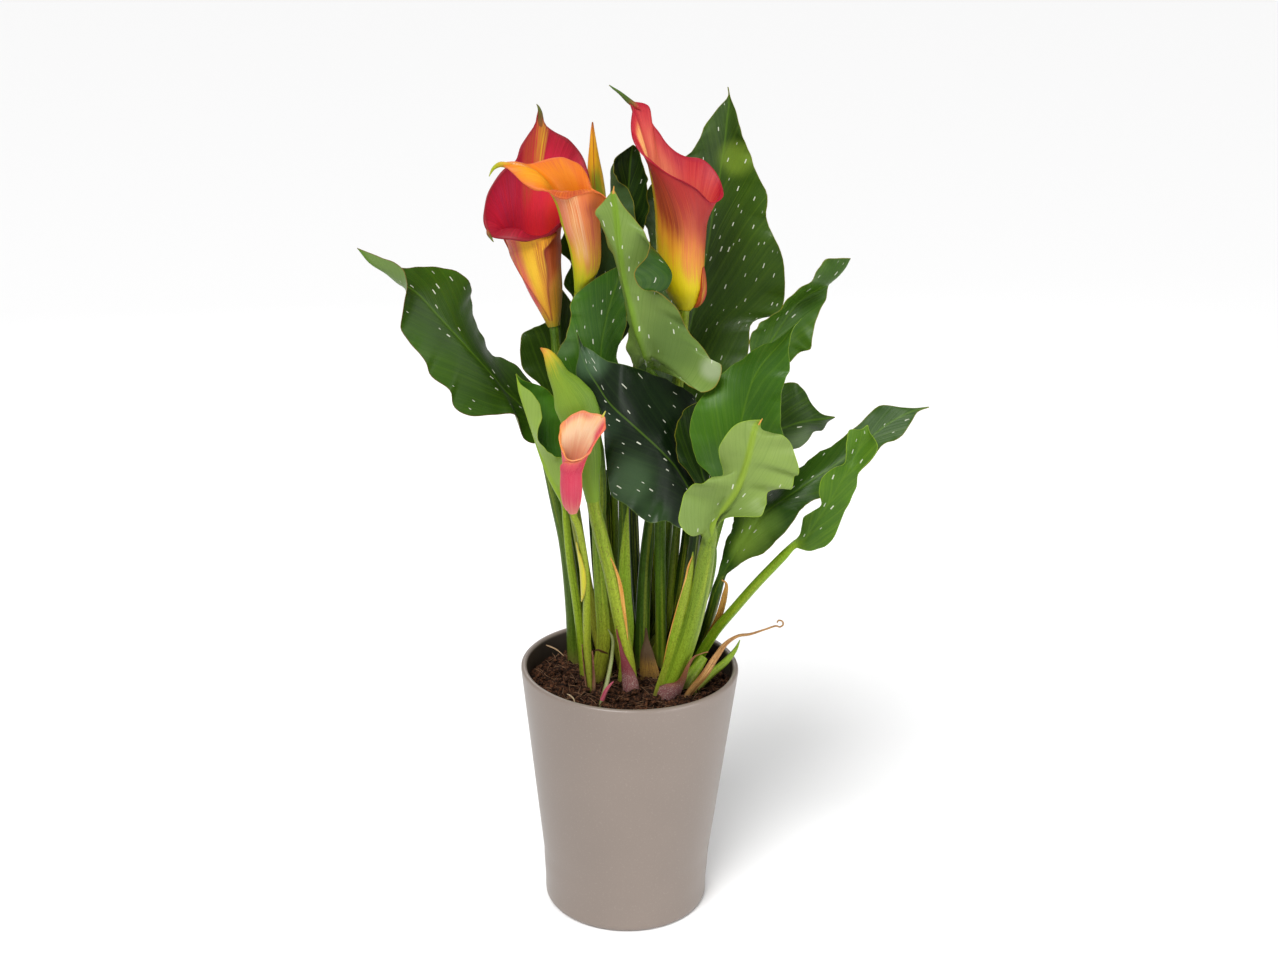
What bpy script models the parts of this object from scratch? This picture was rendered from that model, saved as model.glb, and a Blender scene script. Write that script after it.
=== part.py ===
"""Potted calla lily: a glazed taper pot with soil, broad leaves on long stalks, four blooms and two buds."""
import math

import bmesh
import bpy
from mathutils import Vector

# Pot, in metres
POT_HEIGHT = 0.1665
RIM_RADIUS = 0.0700
KNEE_HEIGHT = 0.0260
KNEE_RADIUS = 0.0549
FOOT_RADIUS = 0.0537
WALL = 0.0037
FLOOR = 0.0060
RIM_ROUND = 0.0009
RIM_EDGE = 0.0014
FOOT_ROUND = 0.0045
INNER_STEP = 0.0020
POT_SIDES = 40

# Soil, with the height of its lumps and of its crown, and how many radians per metre its lumps turn.
# Below its top the stems lean inward by a share of their distance from the middle.
SOIL_HEIGHT = 0.1530
SOIL_LUMP = 0.0016
SOIL_CROWN = 0.0012
SOIL_WAVES = (210, 190, 330, 270)
SOIL_RINGS = (0.014, 0.028, 0.042, 0.055)
SOIL_TURN = 0.5
CLEARANCE = 0.0003
ROOT_DEPTH = 0.0350
ROOT_LEAN = 0.9
HOLE_RISE = 0.0120
HOLE_SIDES = 6

# Plant. A rib and a stem's top are shares of the stalk's or the funnel's radius, and a stalk widens by a power.
BLADE = 0.0009
RIB = 0.8
PETAL = 0.0012
TIP_WIDTH = 0.0010
SHEATH_TIP = 0.0024
STEM_SIDES = 8
STALK_RINGS = 7
STALK_FLARE = 0.7
STEM_RINGS = 8
STEM_TOP = 0.9
NECK = 0.0030
STEM_GREEN = (0.180, 0.330, 0.060)

# Blooms: the funnel's ring where its inside begins, the steps from its throat to its rim, and the spadix's
# thickness from its foot to its tip
SEAT_RING = 2
RIM_STEPS = (0.25, 0.5, 0.75, 1.0)
SPADIX_SHAPE = (0.7, 0.8, 1.0, 0.7, 0.2)
SPADIX_TIP = 0.0040

# Where the photograph was taken from: the eye, how far it looks down, its tilt, its focal length in pixels and
# its centre
EYE = Vector((0.0034, -0.944, 0.602))
LOOK_DOWN = math.radians(18.24)
TILT = math.radians(1.21)
FOCAL = 1600.0
CENTRE = (639.0, 479.5)

# Each leaf is a net of stations from its stalk to its tip. A station holds points from the left margin over
# the rib to the right margin, each as the photograph's column, its row, and millimetres toward the eye.
# "stalk" runs from the blade down to the soil, "ground" is where it stands in millimetres, "radius" is of the
# stalk at the soil and at the blade in millimetres.
LEAVES = {
    "leaf_far_left": {
        "net": [
            [(529, 413, -12), (531, 409, -15), (533, 405, -18)],
            [(536, 443, -4), (524, 407, -10), (541, 397, -22)],
            [(523, 438, 0), (515, 399, -7), (533, 384, -25)],
            [(514, 415, 4), (505, 390, -5), (517, 366, -27)],
            [(492, 415, 8), (496, 379, -3), (500, 358, -27)],
            [(470, 416, 10), (486, 368, -1), (490, 352, -24)],
            [(455, 408, 12), (475, 356, 1), (481, 335, -22)],
            [(449, 390, 13), (465, 345, 3), (475, 318, -20)],
            [(432, 377, 15), (454, 333, 5), (470, 298, -18)],
            [(424, 360, 17), (443, 321, 8), (472, 286, -15)],
            [(411, 344, 20), (432, 309, 11), (459, 273, -10)],
            [(400, 327, 23), (421, 297, 14), (440, 267, -4)],
            [(405, 302, 27), (411, 289, 17), (420, 267, 4)],
            [(407, 280, 32), (400, 284, 20), (407, 268, 10)],
            [(397, 264, 30), (386, 273, 23), (394, 266, 15)],
            [(380, 257, 28), (370, 263, 25), (377, 259, 20)],
            (357, 248, 27),
        ],
        "stalk": [(538, 425, -15), (546, 455, -16), (556, 500, -18), (566, 545, -20), (573, 610, -23)],
        "ground": (-36, 25), "radius": (5.6, 3.0), "colour": (0.045, 0.110, 0.025),
    },
    "leaf_tall_back_right": {
        "net": [
            [(672, 402, -27.5), (677, 403, -29), (682, 402, -27.5)],
            [(655, 415, -22), (679, 392, -31), (706, 408, -22)],
            [(636, 395, -18), (682, 372, -33), (735, 385, -20)],
            [(634, 360, -20), (686, 350, -35), (748, 352, -26)],
            [(640, 325, -22), (690, 328, -37), (753, 322, -34)],
            [(645, 295, -24), (696, 303, -39), (779, 313, -34)],
            [(650, 268, -24), (702, 275, -41), (785, 290, -34)],
            [(650, 240, -24), (708, 245, -43), (781, 252, -34)],
            [(641, 212, -22), (713, 212, -44), (767, 221, -38)],
            [(648, 190, -26), (718, 185, -45), (767, 196, -36)],
            [(672, 168, -32), (722, 160, -45), (754, 166, -40)],
            [(691, 152, -36), (725, 140, -44), (747, 146, -40)],
            [(704, 128, -38), (727, 120, -43), (740, 128, -40)],
            [(718, 108, -40), (729, 104, -42), (736, 111, -41)],
            [(728, 96, -41), (729, 96, -41.5), (730.5, 97, -41)],
            (728, 87, -40),
        ],
        "stalk": [(672, 425, -30), (660, 470, -28), (648, 540, -22), (643, 610, -18)],
        "ground": (8, 16), "radius": (5.4, 2.8), "colour": (0.040, 0.100, 0.022),
    },
    "leaf_centre_pale": {
        "net": [
            [(653, 368, 9), (650, 364, 7), (645, 361, 5)],
            [(681, 380, 34), (665, 367, 25), (648.5, 359, 12), (642, 362, 9), (636, 368, 6)],
            [(701, 392, 37), (676, 370, 32), (647, 355, 21), (639, 356, 15), (630, 358, 8)],
            [(715, 387, 38), (684, 363, 33), (645.5, 350, 23), (637, 349, 16), (628, 349, 9)],
            [(721, 365, 40), (687, 352, 33), (643, 344, 25), (635, 342, 18), (628, 340, 11)],
            [(708, 356, 35), (679, 341, 32), (640, 336, 27), (633, 334, 20), (628, 330, 13)],
            [(698, 342, 32), (669, 327, 32), (636, 324, 28), (630, 323, 21), (628, 320, 14)],
            [(686, 330, 33), (661, 315, 33), (633, 312, 30), (627.5, 312, 23), (628, 312, 15)],
            [(681, 314, 37), (656, 304, 35), (630, 301, 31), (625, 301, 24), (627, 302, 16)],
            [(667, 297, 40), (652, 294, 36), (627, 290, 33), (622.5, 290, 26), (626, 291, 18)],
            [(643, 290, 46), (667, 288, 35), (624.5, 279, 34), (619.5, 277, 28), (622, 278, 20)],
            [(635, 277, 50), (672, 273, 33), (622, 266, 35), (616.5, 264, 30), (617, 265, 22)],
            [(645, 257, 46), (660, 256, 34), (620, 252, 36), (612.5, 248, 32), (611, 248, 26)],
            [(648, 249, 44), (650, 246, 35.5), (619, 244, 36), (610, 240.5, 33), (606, 238, 28)],
            [(647, 238, 40), (636, 233, 37), (618, 234, 36), (607, 231, 33), (601, 226, 30)],
            [(636, 221, 34), (627, 220, 35), (616.5, 218, 35), (606, 215, 33), (595.5, 212, 31)],
            [(622, 204, 31), (618, 204, 32), (614.5, 203, 33), (609, 203, 32), (603, 202, 31)],
            (613.5, 190, 32),
        ],
        "stalk": [(653, 378, 2), (660, 410, -3), (661, 460, -5), (660, 540, -9), (661, 610, -14)],
        "ground": (20, 19), "radius": (3.8, 3.4), "colour": (0.170, 0.270, 0.080),
    },
    "leaf_centre_left": {
        "net": [
            [(597, 430, 6), (599, 431, 6), (602, 430, 6)],
            [(574, 425, 14), (599, 418, 6), (622, 420, -2)],
            [(558, 395, 18), (599, 395, 8), (628, 390, -1)],
            [(556, 360, 20), (600, 365, 10), (617, 362, 2)],
            [(565, 337, 20), (602, 340, 11), (620, 342, 4)],
            [(571, 319, 18), (606, 320, 11), (627, 323, 6)],
            [(570, 304, 17), (611, 300, 11), (625, 303, 7)],
            [(583, 288, 15), (616, 285, 11), (624, 289, 7)],
            [(603, 274, 12), (620, 273, 10), (626, 277, 8)],
            (628, 262, 8),
        ],
        "stalk": [(600, 450, 4), (602, 490, 0), (599, 550, -8), (600, 610, -14)],
        "ground": (-18, 18), "radius": (4.4, 2.6), "colour": (0.060, 0.150, 0.035),
    },
    "leaf_front_dark": {
        "net": [
            [(693, 504, 29), (697, 500, 28), (700, 496, 27)],
            [(684, 528, 42), (690, 490, 28), (707, 470, 16)],
            [(665, 521, 47), (683, 478, 30), (706, 447, 10)],
            [(651, 523, 50), (675, 466, 34), (702, 424, 6)],
            [(640, 517, 51), (666, 456, 37), (696, 404, 4)],
            [(626, 505, 50), (656, 446, 39), (688, 390, 4)],
            [(612, 496, 49), (646, 437, 39), (676, 384, 2)],
            [(608, 480, 47), (636, 428, 38), (658, 377, 6)],
            [(606, 462, 44), (626, 419, 38), (641, 369, 18)],
            [(604, 440, 42), (616, 410, 38), (622, 364, 32)],
            [(602, 415, 40), (607, 400, 37), (606, 360, 33)],
            [(592, 394, 37), (598, 386, 36), (593, 351, 34)],
            [(576, 374, 35), (588, 370, 36), (584, 346, 35)],
            [(579, 353, 35), (581, 352, 35.5), (582.5, 344, 36)],
            (577, 332, 36),
        ],
        "stalk": [(698, 512, 25), (694, 545, 17), (686, 600, 4), (680, 640, -4)],
        "ground": (30, 10), "radius": (4.2, 3.0), "colour": (0.025, 0.070, 0.018),
    },
    "leaf_right_centre": {
        "net": [
            [(722, 497, 32), (726, 498, 32), (730, 497, 32)],
            [(712, 478, 42), (730, 480, 35), (760, 490, 44)],
            [(697, 460, 45), (733, 462, 37), (780, 470, 46)],
            [(690, 436, 44), (737, 440, 39), (784, 445, 48)],
            [(693, 412, 40), (742, 418, 40), (781, 420, 48)],
            [(706, 391, 32), (747, 398, 40), (781, 398, 46)],
            [(724, 373, 28), (753, 380, 39), (786, 378, 46)],
            [(742, 358, 27), (761, 366, 38), (790, 366, 44)],
            [(758, 348, 28), (771, 354, 37), (789, 350, 42)],
            [(774, 341, 30), (783, 341, 36), (790.5, 336, 39)],
            [(788, 331, 33), (792, 329, 35), (795, 326, 36)],
            (801, 319, 34),
        ],
        "stalk": [(721, 515, 30), (711, 550, 22), (701, 600, 7), (691, 640, -8)],
        "ground": (34, 24), "radius": (4.0, 2.8), "colour": (0.070, 0.180, 0.040),
    },
    "leaf_front_right_pale": {
        "net": [
            [(717, 529, 71), (710, 534, 70), (702, 533, 71)],
            [(722, 521, 80), (714, 524, 72), (691, 536, 80)],
            [(737, 516, 84), (720, 514, 74), (679, 522, 84)],
            [(760, 515, 88), (726, 505, 76), (682, 499, 80)],
            [(766, 506, 82), (732, 496, 78), (688, 490, 82)],
            [(768, 492, 78), (738, 486, 80), (701, 483, 87)],
            [(791, 490, 84), (742, 477, 81), (712, 478, 84)],
            [(794, 476, 79), (745, 468, 82), (722, 476, 78)],
            [(799, 472, 83), (748, 458, 83), (720, 460, 78)],
            [(794, 450, 79), (750, 449, 83), (719, 447, 82)],
            [(784, 436, 82), (752, 440, 83), (725, 436, 84)],
            [(770, 433, 78), (754, 431, 83), (737, 424, 84)],
            [(761, 428, 80), (756, 425, 81), (748, 420.5, 83)],
            (761, 420, 82),
        ],
        "stalk": [(707.5, 548, 65), (702, 580, 54), (693, 620, 40), (680, 660, 28)],
        "ground": (24, -20), "radius": (7.2, 4.8), "colour": (0.260, 0.400, 0.120),
    },
    "leaf_long_right": {
        "net": [
            [(718, 573, 20), (722, 575, 21), (727, 574, 22)],
            [(724, 550, 14), (736, 552, 22), (745, 561, 30)],
            [(731, 528, 10), (748, 535, 24), (766, 551, 36)],
            [(738, 513, 8), (760, 518, 28), (784, 533, 38)],
            [(748, 499, 6), (775, 505, 30), (800, 512, 38)],
            [(768, 485, 6), (793, 493, 28), (808, 503, 34)],
            [(790, 472, 8), (812, 480, 26), (826, 496, 30)],
            [(812, 458, 10), (832, 467, 24), (850, 480, 24)],
            [(835, 443, 12), (852, 452, 22), (870, 462, 24)],
            [(857, 426, 14), (870, 438, 20), (884, 444, 24)],
            [(879, 406, 12), (888, 424, 18), (900, 438, 24)],
            [(900, 407, 14), (906, 414, 17), (912, 421, 20)],
            [(914, 408, 15), (917, 410, 16), (918, 412, 17)],
            (929, 407, 16),
        ],
        "stalk": [(717, 590, 10), (711, 612, -5), (704, 634, -20)],
        "ground": (43, 33), "radius": (3.7, 3.4), "colour": (0.045, 0.115, 0.030),
    },
    "leaf_small_right": {
        "net": [
            [(793, 542, 38), (796, 544, 38), (797, 548, 38)],
            [(800, 534, 40), (806, 538, 43), (811, 551, 42)],
            [(803, 518, 42), (814, 525, 47), (828, 544, 46)],
            [(811, 512, 46), (822, 514, 49), (838, 529, 48)],
            [(821, 505, 49), (829, 503, 51), (844, 513, 50)],
            [(819, 492, 51), (836, 491, 53), (851, 499, 52)],
            [(822, 478, 53), (842, 480, 55), (857, 486, 53)],
            [(834, 468, 55), (849, 470, 56), (858, 474, 55)],
            [(844, 463, 56), (853, 461, 54), (864, 467, 56)],
            [(846, 453, 58), (858, 451, 53), (874, 456, 58)],
            [(847, 442, 59), (863, 441, 53), (878, 446, 58)],
            [(849, 430, 59), (867, 434, 54), (874, 438, 57)],
            [(861, 429.5, 56), (867, 430, 54), (870, 432.5, 55)],
            (867.5, 425, 54),
        ],
        "stalk": [(783, 556, 36), (757, 583, 26), (735, 608, 14), (712, 636, -4)],
        "ground": (42, 18), "radius": (3.4, 2.8), "colour": (0.200, 0.370, 0.070),
    },
    "leaf_upper_right": {
        "net": [
            [(751, 361, -11.5), (756, 364, -12), (761, 363, -11.5)],
            [(750, 346, -8), (764, 352, -14), (785, 366, -10)],
            [(751, 333, -8), (772, 340, -16), (800, 352, -8)],
            [(760, 325, -8), (781, 326, -18), (811, 349, -6)],
            [(772, 315, -10), (790, 313, -20), (813, 330, -10)],
            [(785, 303, -10), (799, 302, -22), (819, 313, -14)],
            [(797, 292, -8), (808, 295, -21), (826, 300, -18)],
            [(810, 280, -6), (818, 289, -19), (828, 288, -21)],
            [(820, 267, -4), (829, 283, -16), (831, 282, -22)],
            [(829, 259, -4), (838, 276, -14), (838, 275, -19)],
            [(841, 258, -6), (845, 268, -12), (845, 267, -15)],
            (850.5, 258.5, -9),
        ],
        "stalk": [(754, 380, -12), (742, 430, -16), (724, 490, -22), (707, 550, -31), (690, 600, -42)],
        "ground": (14, 50), "radius": (3.6, 2.6), "colour": (0.055, 0.140, 0.035),
    },
    "leaf_behind_right": {
        "net": [
            [(744, 446, 4), (746, 449, 4), (748, 452, 4)],
            [(752, 415, -4), (758, 440, 0), (762, 462, -2)],
            [(768, 395, -8), (772, 432, -1), (778, 458, -6)],
            [(782, 384, -10), (786, 427, -2), (795, 450, -8)],
            [(796, 383, -10), (797, 423, -2), (804, 444, -10)],
            [(804, 389, -10), (806, 421, -3), (812, 432, -12)],
            [(812, 404, -8), (815, 419.5, -4), (822, 431, -10)],
            [(822, 414, -6), (823, 419, -4), (828, 422, -8)],
            (835, 417, -5),
        ],
        "stalk": [(738, 462, 4), (724, 500, -6), (709, 550, -16), (697, 600, -34)],
        "ground": (33, 49), "radius": (3.0, 2.2), "colour": (0.040, 0.095, 0.030),
    },
    "leaf_rolled_back": {
        "net": [
            [(608, 346, -13), (612, 347, -14), (616, 346, -13)],
            [(603, 339, -9), (603, 338, -12.5), (612, 337, -15), (619, 337, -13), (624, 338, -11)],
            [(606, 325, -8), (597, 325, -10), (612, 326, -16), (624, 325, -12), (632, 325, -8)],
            [(613, 297, -4), (596, 297, -8), (611, 298, -18), (628, 297, -12), (638, 297, -6)],
            [(622, 268, -2), (596, 269, -8), (612, 271, -19), (630, 270, -14), (640, 270, -8)],
            [(630, 240, 0), (599, 241, -8), (616, 242, -21), (634, 240, -16), (644, 238, -9)],
            [(636, 216, 0), (605, 216, -9), (622, 217, -23), (638, 214, -19), (647, 211, -12)],
            [(629, 192, -4), (610, 196, -12), (627, 196, -24), (640, 191, -22), (648, 186, -17)],
            [(619, 179, -8), (611, 181, -15), (629, 180, -25), (639, 178, -24), (646, 176, -20)],
            [(613, 171, -13), (611.5, 168, -18), (630, 166, -25), (638, 165, -24), (643, 164, -22)],
            [(614, 160, -17), (619, 157, -20), (631, 156, -25), (636, 155, -24), (640, 154, -22)],
            [(624, 151, -20), (628, 149.5, -22), (632, 148.5, -23), (635, 148, -23), (638, 148.5, -22)],
            (633, 145, -21),
        ],
        "stalk": [(613, 365, -14), (618, 420, -15), (623, 500, -14), (622, 580, -17)],
        "ground": (-4, 31), "radius": (3.4, 2.4), "colour": (0.040, 0.085, 0.025),
    },
    "leaf_behind_left": {
        "net": [
            [(556, 402, -18), (559, 403, -18), (562, 402, -18)],
            [(538, 383, -14), (560, 385, -19), (578, 392, -18)],
            [(525, 372, -14), (560, 368, -21), (586, 375, -20)],
            [(520, 354, -15), (560, 350, -23), (588, 352, -22)],
            [(522, 335, -18), (560, 333, -25), (584, 332, -24)],
            [(532, 329, -20), (560, 320, -26), (578, 315, -25)],
            [(545, 323, -23), (560, 309, -27), (572, 303, -26)],
            (562, 290, -28),
        ],
        "stalk": [(562, 425, -20), (567, 480, -26), (574, 550, -34), (583, 610, -38)],
        "ground": (-27, 38), "radius": (3.0, 2.2), "colour": (0.035, 0.080, 0.022),
    },
    "leaf_narrow_left": {
        "net": [
            [(566, 498, 27), (564, 500, 25), (567, 503, 23)],
            [(567, 464, 32), (554, 483, 26), (572, 480, 20)],
            [(557, 456, 35), (546, 466, 27), (574, 462, 16)],
            [(545, 450, 37), (539, 448, 29), (572, 445, 14)],
            [(538, 437, 37), (534, 434, 30), (568, 425, 12)],
            [(541, 418, 37), (528, 417, 30), (562, 408, 14)],
            [(540, 404, 36), (523, 403, 30), (553, 395, 16)],
            [(532, 393, 34), (519, 391, 30), (541, 386, 20)],
            [(520.5, 384, 31), (517.5, 382, 30), (523, 380, 28)],
            (516, 374, 30),
        ],
        "stalk": [(566, 520, 24), (570, 560, 18), (576, 600, 11), (581, 640, 4)],
        "ground": (-29, 1), "radius": (3.0, 2.2), "colour": (0.110, 0.230, 0.045),
    },
    "leaf_behind_blooms": {
        "net": [
            [(586, 372, -36), (588, 373, -36), (590, 372, -36)],
            [(574, 358, -34), (588, 358, -37), (604, 362, -36)],
            [(562, 335, -34), (587, 335, -39), (610, 340, -38)],
            [(562, 312, -34), (586, 312, -40), (610, 315, -39)],
            [(573, 300, -36), (585, 293, -41), (606, 292, -40)],
            [(564, 284, -34), (583, 275, -41), (602, 270, -40)],
            [(571, 264, -37), (580, 258, -41), (597, 250, -40)],
            [(558, 249, -36), (577, 245, -41), (591, 232, -40)],
            [(563, 236, -38), (573, 230, -41), (582, 222, -40)],
            (570, 216, -41),
        ],
        "stalk": [(590, 395, -36), (594, 460, -36), (599, 540, -37), (604, 605, -38)],
        "ground": (-16, 39), "radius": (3.2, 2.2), "colour": (0.045, 0.110, 0.025),
    },
    "leaf_between": {
        "net": [
            [(709, 505, 25), (712, 506, 25), (715, 505, 25)],
            [(692, 479, 35), (706, 487, 29), (722, 490, 26)],
            [(678, 458, 38), (700, 465, 30), (720, 466, 25)],
            [(675, 440, 38), (698, 444, 29), (716, 442, 24)],
            [(679, 420, 36), (697, 424, 27), (714, 420, 22)],
            [(685, 409, 30), (700, 407, 23), (714, 404, 18)],
            (716, 396, 17),
        ],
        "stalk": [(709, 522, 17), (699, 550, 3), (685, 600, -15), (676, 632, -26)],
        "ground": (25, 38), "radius": (3.0, 2.2), "colour": (0.025, 0.070, 0.018),
    },
}

# Each bloom is a wrapped petal on its own stem. "axis" runs up the funnel as column, row, toward and radius in
# millimetres; "rim" runs round from behind by the right and the front, as seen from the eye.
BLOOMS = {
    "bloom_red": {
        "axis": [(554, 326, -6, 3.2), (551, 311, -7, 6.0), (546, 290, -8, 9.8), (540, 266, -9, 12.6),
                 (537, 250, -10, 14.6)],
        "rim": [
            (538, 106, -26), (557, 137, -27), (577, 156, -25), (588, 180, -19), (580, 205, -9), (561, 223, -1),
            (538, 238, 7), (515, 239, 11), (494, 240, 9), (484, 222, 1), (487, 194, -11), (507, 169, -19),
            (522, 142, -24),
        ],
        "rise": 0.45, "stem": [(556, 345, -7), (560, 400, -5), (570, 480, -3), (583, 560, -5), (596, 630, -8)],
        "ground": (-14, 4), "radius": 3.4, "spadix": 4.0, "colour": (0.620, 0.030, 0.045),
    },
    "bloom_orange": {
        "axis": [(580, 291, 4, 3.0), (582, 279, 6, 5.0), (584, 262, 9, 8.0), (583, 240, 12, 9.8),
                 (579, 216, 15, 11.4)],
        "rim": [
            (562, 158, 6), (577, 161, 3), (588, 174, 3), (597, 189, 7), (608, 200, 15), (590, 193, 25),
            (568, 198, 29), (552, 193, 28), (533, 186, 27), (514, 174, 25), (489, 177, 21), (503, 161, 17),
            (524, 163, 13), (543, 161, 9),
        ],
        "rise": 0.35, "stem": [(581, 305, 0), (584, 350, -10), (592, 430, -22), (604, 540, -26), (612, 620, -22)],
        "ground": (-5, 16), "radius": 3.2, "spadix": 3.0, "colour": (0.850, 0.270, 0.060),
    },
    "bloom_coral": {
        "axis": [(684, 309, 2, 3.6), (685, 300, 2, 7.5), (684, 286, 3, 11.4), (681, 260, 4, 13.6),
                 (681, 230, 5, 14.6)],
        "rim": [
            (670, 147, -8), (688, 157, -12), (705, 161, -12), (719, 178, -6), (721, 195, 4), (711, 202, 13),
            (695, 188, 20), (675, 177, 22), (655, 164, 21), (640, 149, 16), (631, 128, 10), (634, 108, 6),
            (610, 86, 4), (648, 106, 0), (652, 121, -2), (660, 134, -5),
        ],
        "rise": 0.40, "stem": [(683, 322, 0), (679, 370, -8), (673, 440, -20), (667, 540, -28), (663, 610, -30)],
        "ground": (19.6, 32.5), "radius": 3.4, "spadix": 4.0, "colour": (0.760, 0.120, 0.070),
    },
    "bloom_small": {
        "axis": [(573, 512, 65, 2.2), (572, 503, 66, 4.4), (572, 488, 68, 5.4), (572, 472, 69, 5.0)],
        "rim": [
            (583, 411.5, 64), (595, 414, 65), (606, 411, 67), (604, 427, 72), (595, 441, 75), (588, 453, 77),
            (578, 459, 78), (570, 460, 77), (564, 452, 73), (560, 437, 68), (562, 425, 65), (570, 416, 64),
        ],
        "rise": 0.30, "stem": [(577, 524, 63), (582, 545, 58), (586, 580, 47), (587, 640, 28)],
        "ground": (-24.5, -15), "radius": 2.4, "spadix": 1.6, "colour": (0.870, 0.420, 0.250),
    },
}

# Each bud is a closed roll: column, row, toward and half widths across and toward the eye in millimetres.
BUDS = {
    "bud_orange": {
        "roll": [
            (592.5, 122, -34, 0.4, 0.4), (592.5, 132, -34, 1.3, 1.2), (593, 146, -34, 2.4, 2.2),
            (593.5, 160, -34, 3.6, 3.2), (595, 178, -34, 4.9, 4.2), (597, 196, -34, 5.2, 4.6),
            (598, 214, -34, 4.4, 4.2), (599, 230, -33, 3.2, 3.2),
        ],
        "stem": [(600, 242, -32), (606, 300, -30), (612, 400, -31), (615, 540, -33), (616, 610, -36)],
        "ground": (-7, 47), "radius": 2.4, "colour": (0.860, 0.480, 0.060),
    },
    "bud_green": {
        "roll": [
            (540.5, 348, 48, 0.4, 0.4), (547, 353, 49, 2.6, 2.0), (553, 363, 50, 4.6, 3.2),
            (559, 376, 50, 6.2, 4.2), (568, 389, 50, 9.6, 5.2), (575, 403, 50, 12.2, 5.8),
            (581, 420, 50, 11.6, 6.0), (584, 440, 50, 9.4, 6.0), (587, 460, 50, 8.2, 5.6),
            (590, 480, 49, 5.6, 4.8), (593, 500, 48, 4.2, 4.2),
        ],
        "stem": [(595, 512, 47), (602, 540, 43), (612, 580, 37), (622, 630, 29)],
        "ground": (1.5, -18), "radius": 4.4, "colour": (0.420, 0.460, 0.050),
    },
}

# Thin sheaths wrapped round the foot of a stem: height in millimetres, facing and half turn in degrees, where
# facing 0 is toward the eye and turns to the right.
WRAPS = {
    "sheath_purple_front": {
        "on": "bud_green", "colour": (0.300, 0.130, 0.130),
        "turns": [(148, 0, 85), (158, 0, 82), (168, -4, 66), (178, -12, 42), (187, -22, 20), (194, -30, 6)],
    },
    "sheath_purple_right": {
        "on": "leaf_front_right_pale", "turns": [(148, 0, 85), (158, 4, 80), (166, 18, 56), (172, 36, 26)],
        "tip": [(692, 659, 38), (700, 654, 39), (708, 652, 39)], "colour": (0.330, 0.140, 0.110),
    },
    "sheath_pink_left": {
        "on": "bloom_small", "colour": (0.500, 0.260, 0.160),
        "turns": [(148, -95, 60), (160, -95, 52), (172, -98, 34), (182, -100, 16), (190, -100, 5)],
    },
    "sheath_pink_right": {
        "on": "bloom_small", "colour": (0.480, 0.230, 0.150),
        "turns": [(148, 80, 65), (158, 80, 55), (168, 76, 34), (178, 70, 16), (186, 68, 5)],
    },
    "sheath_yellow": {
        "on": "bloom_small", "colour": (0.720, 0.600, 0.030),
        "turns": [(226, -70, 8), (234, -75, 48), (244, -78, 62), (254, -75, 50), (264, -65, 24), (272, -60, 6)],
    },
}

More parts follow.
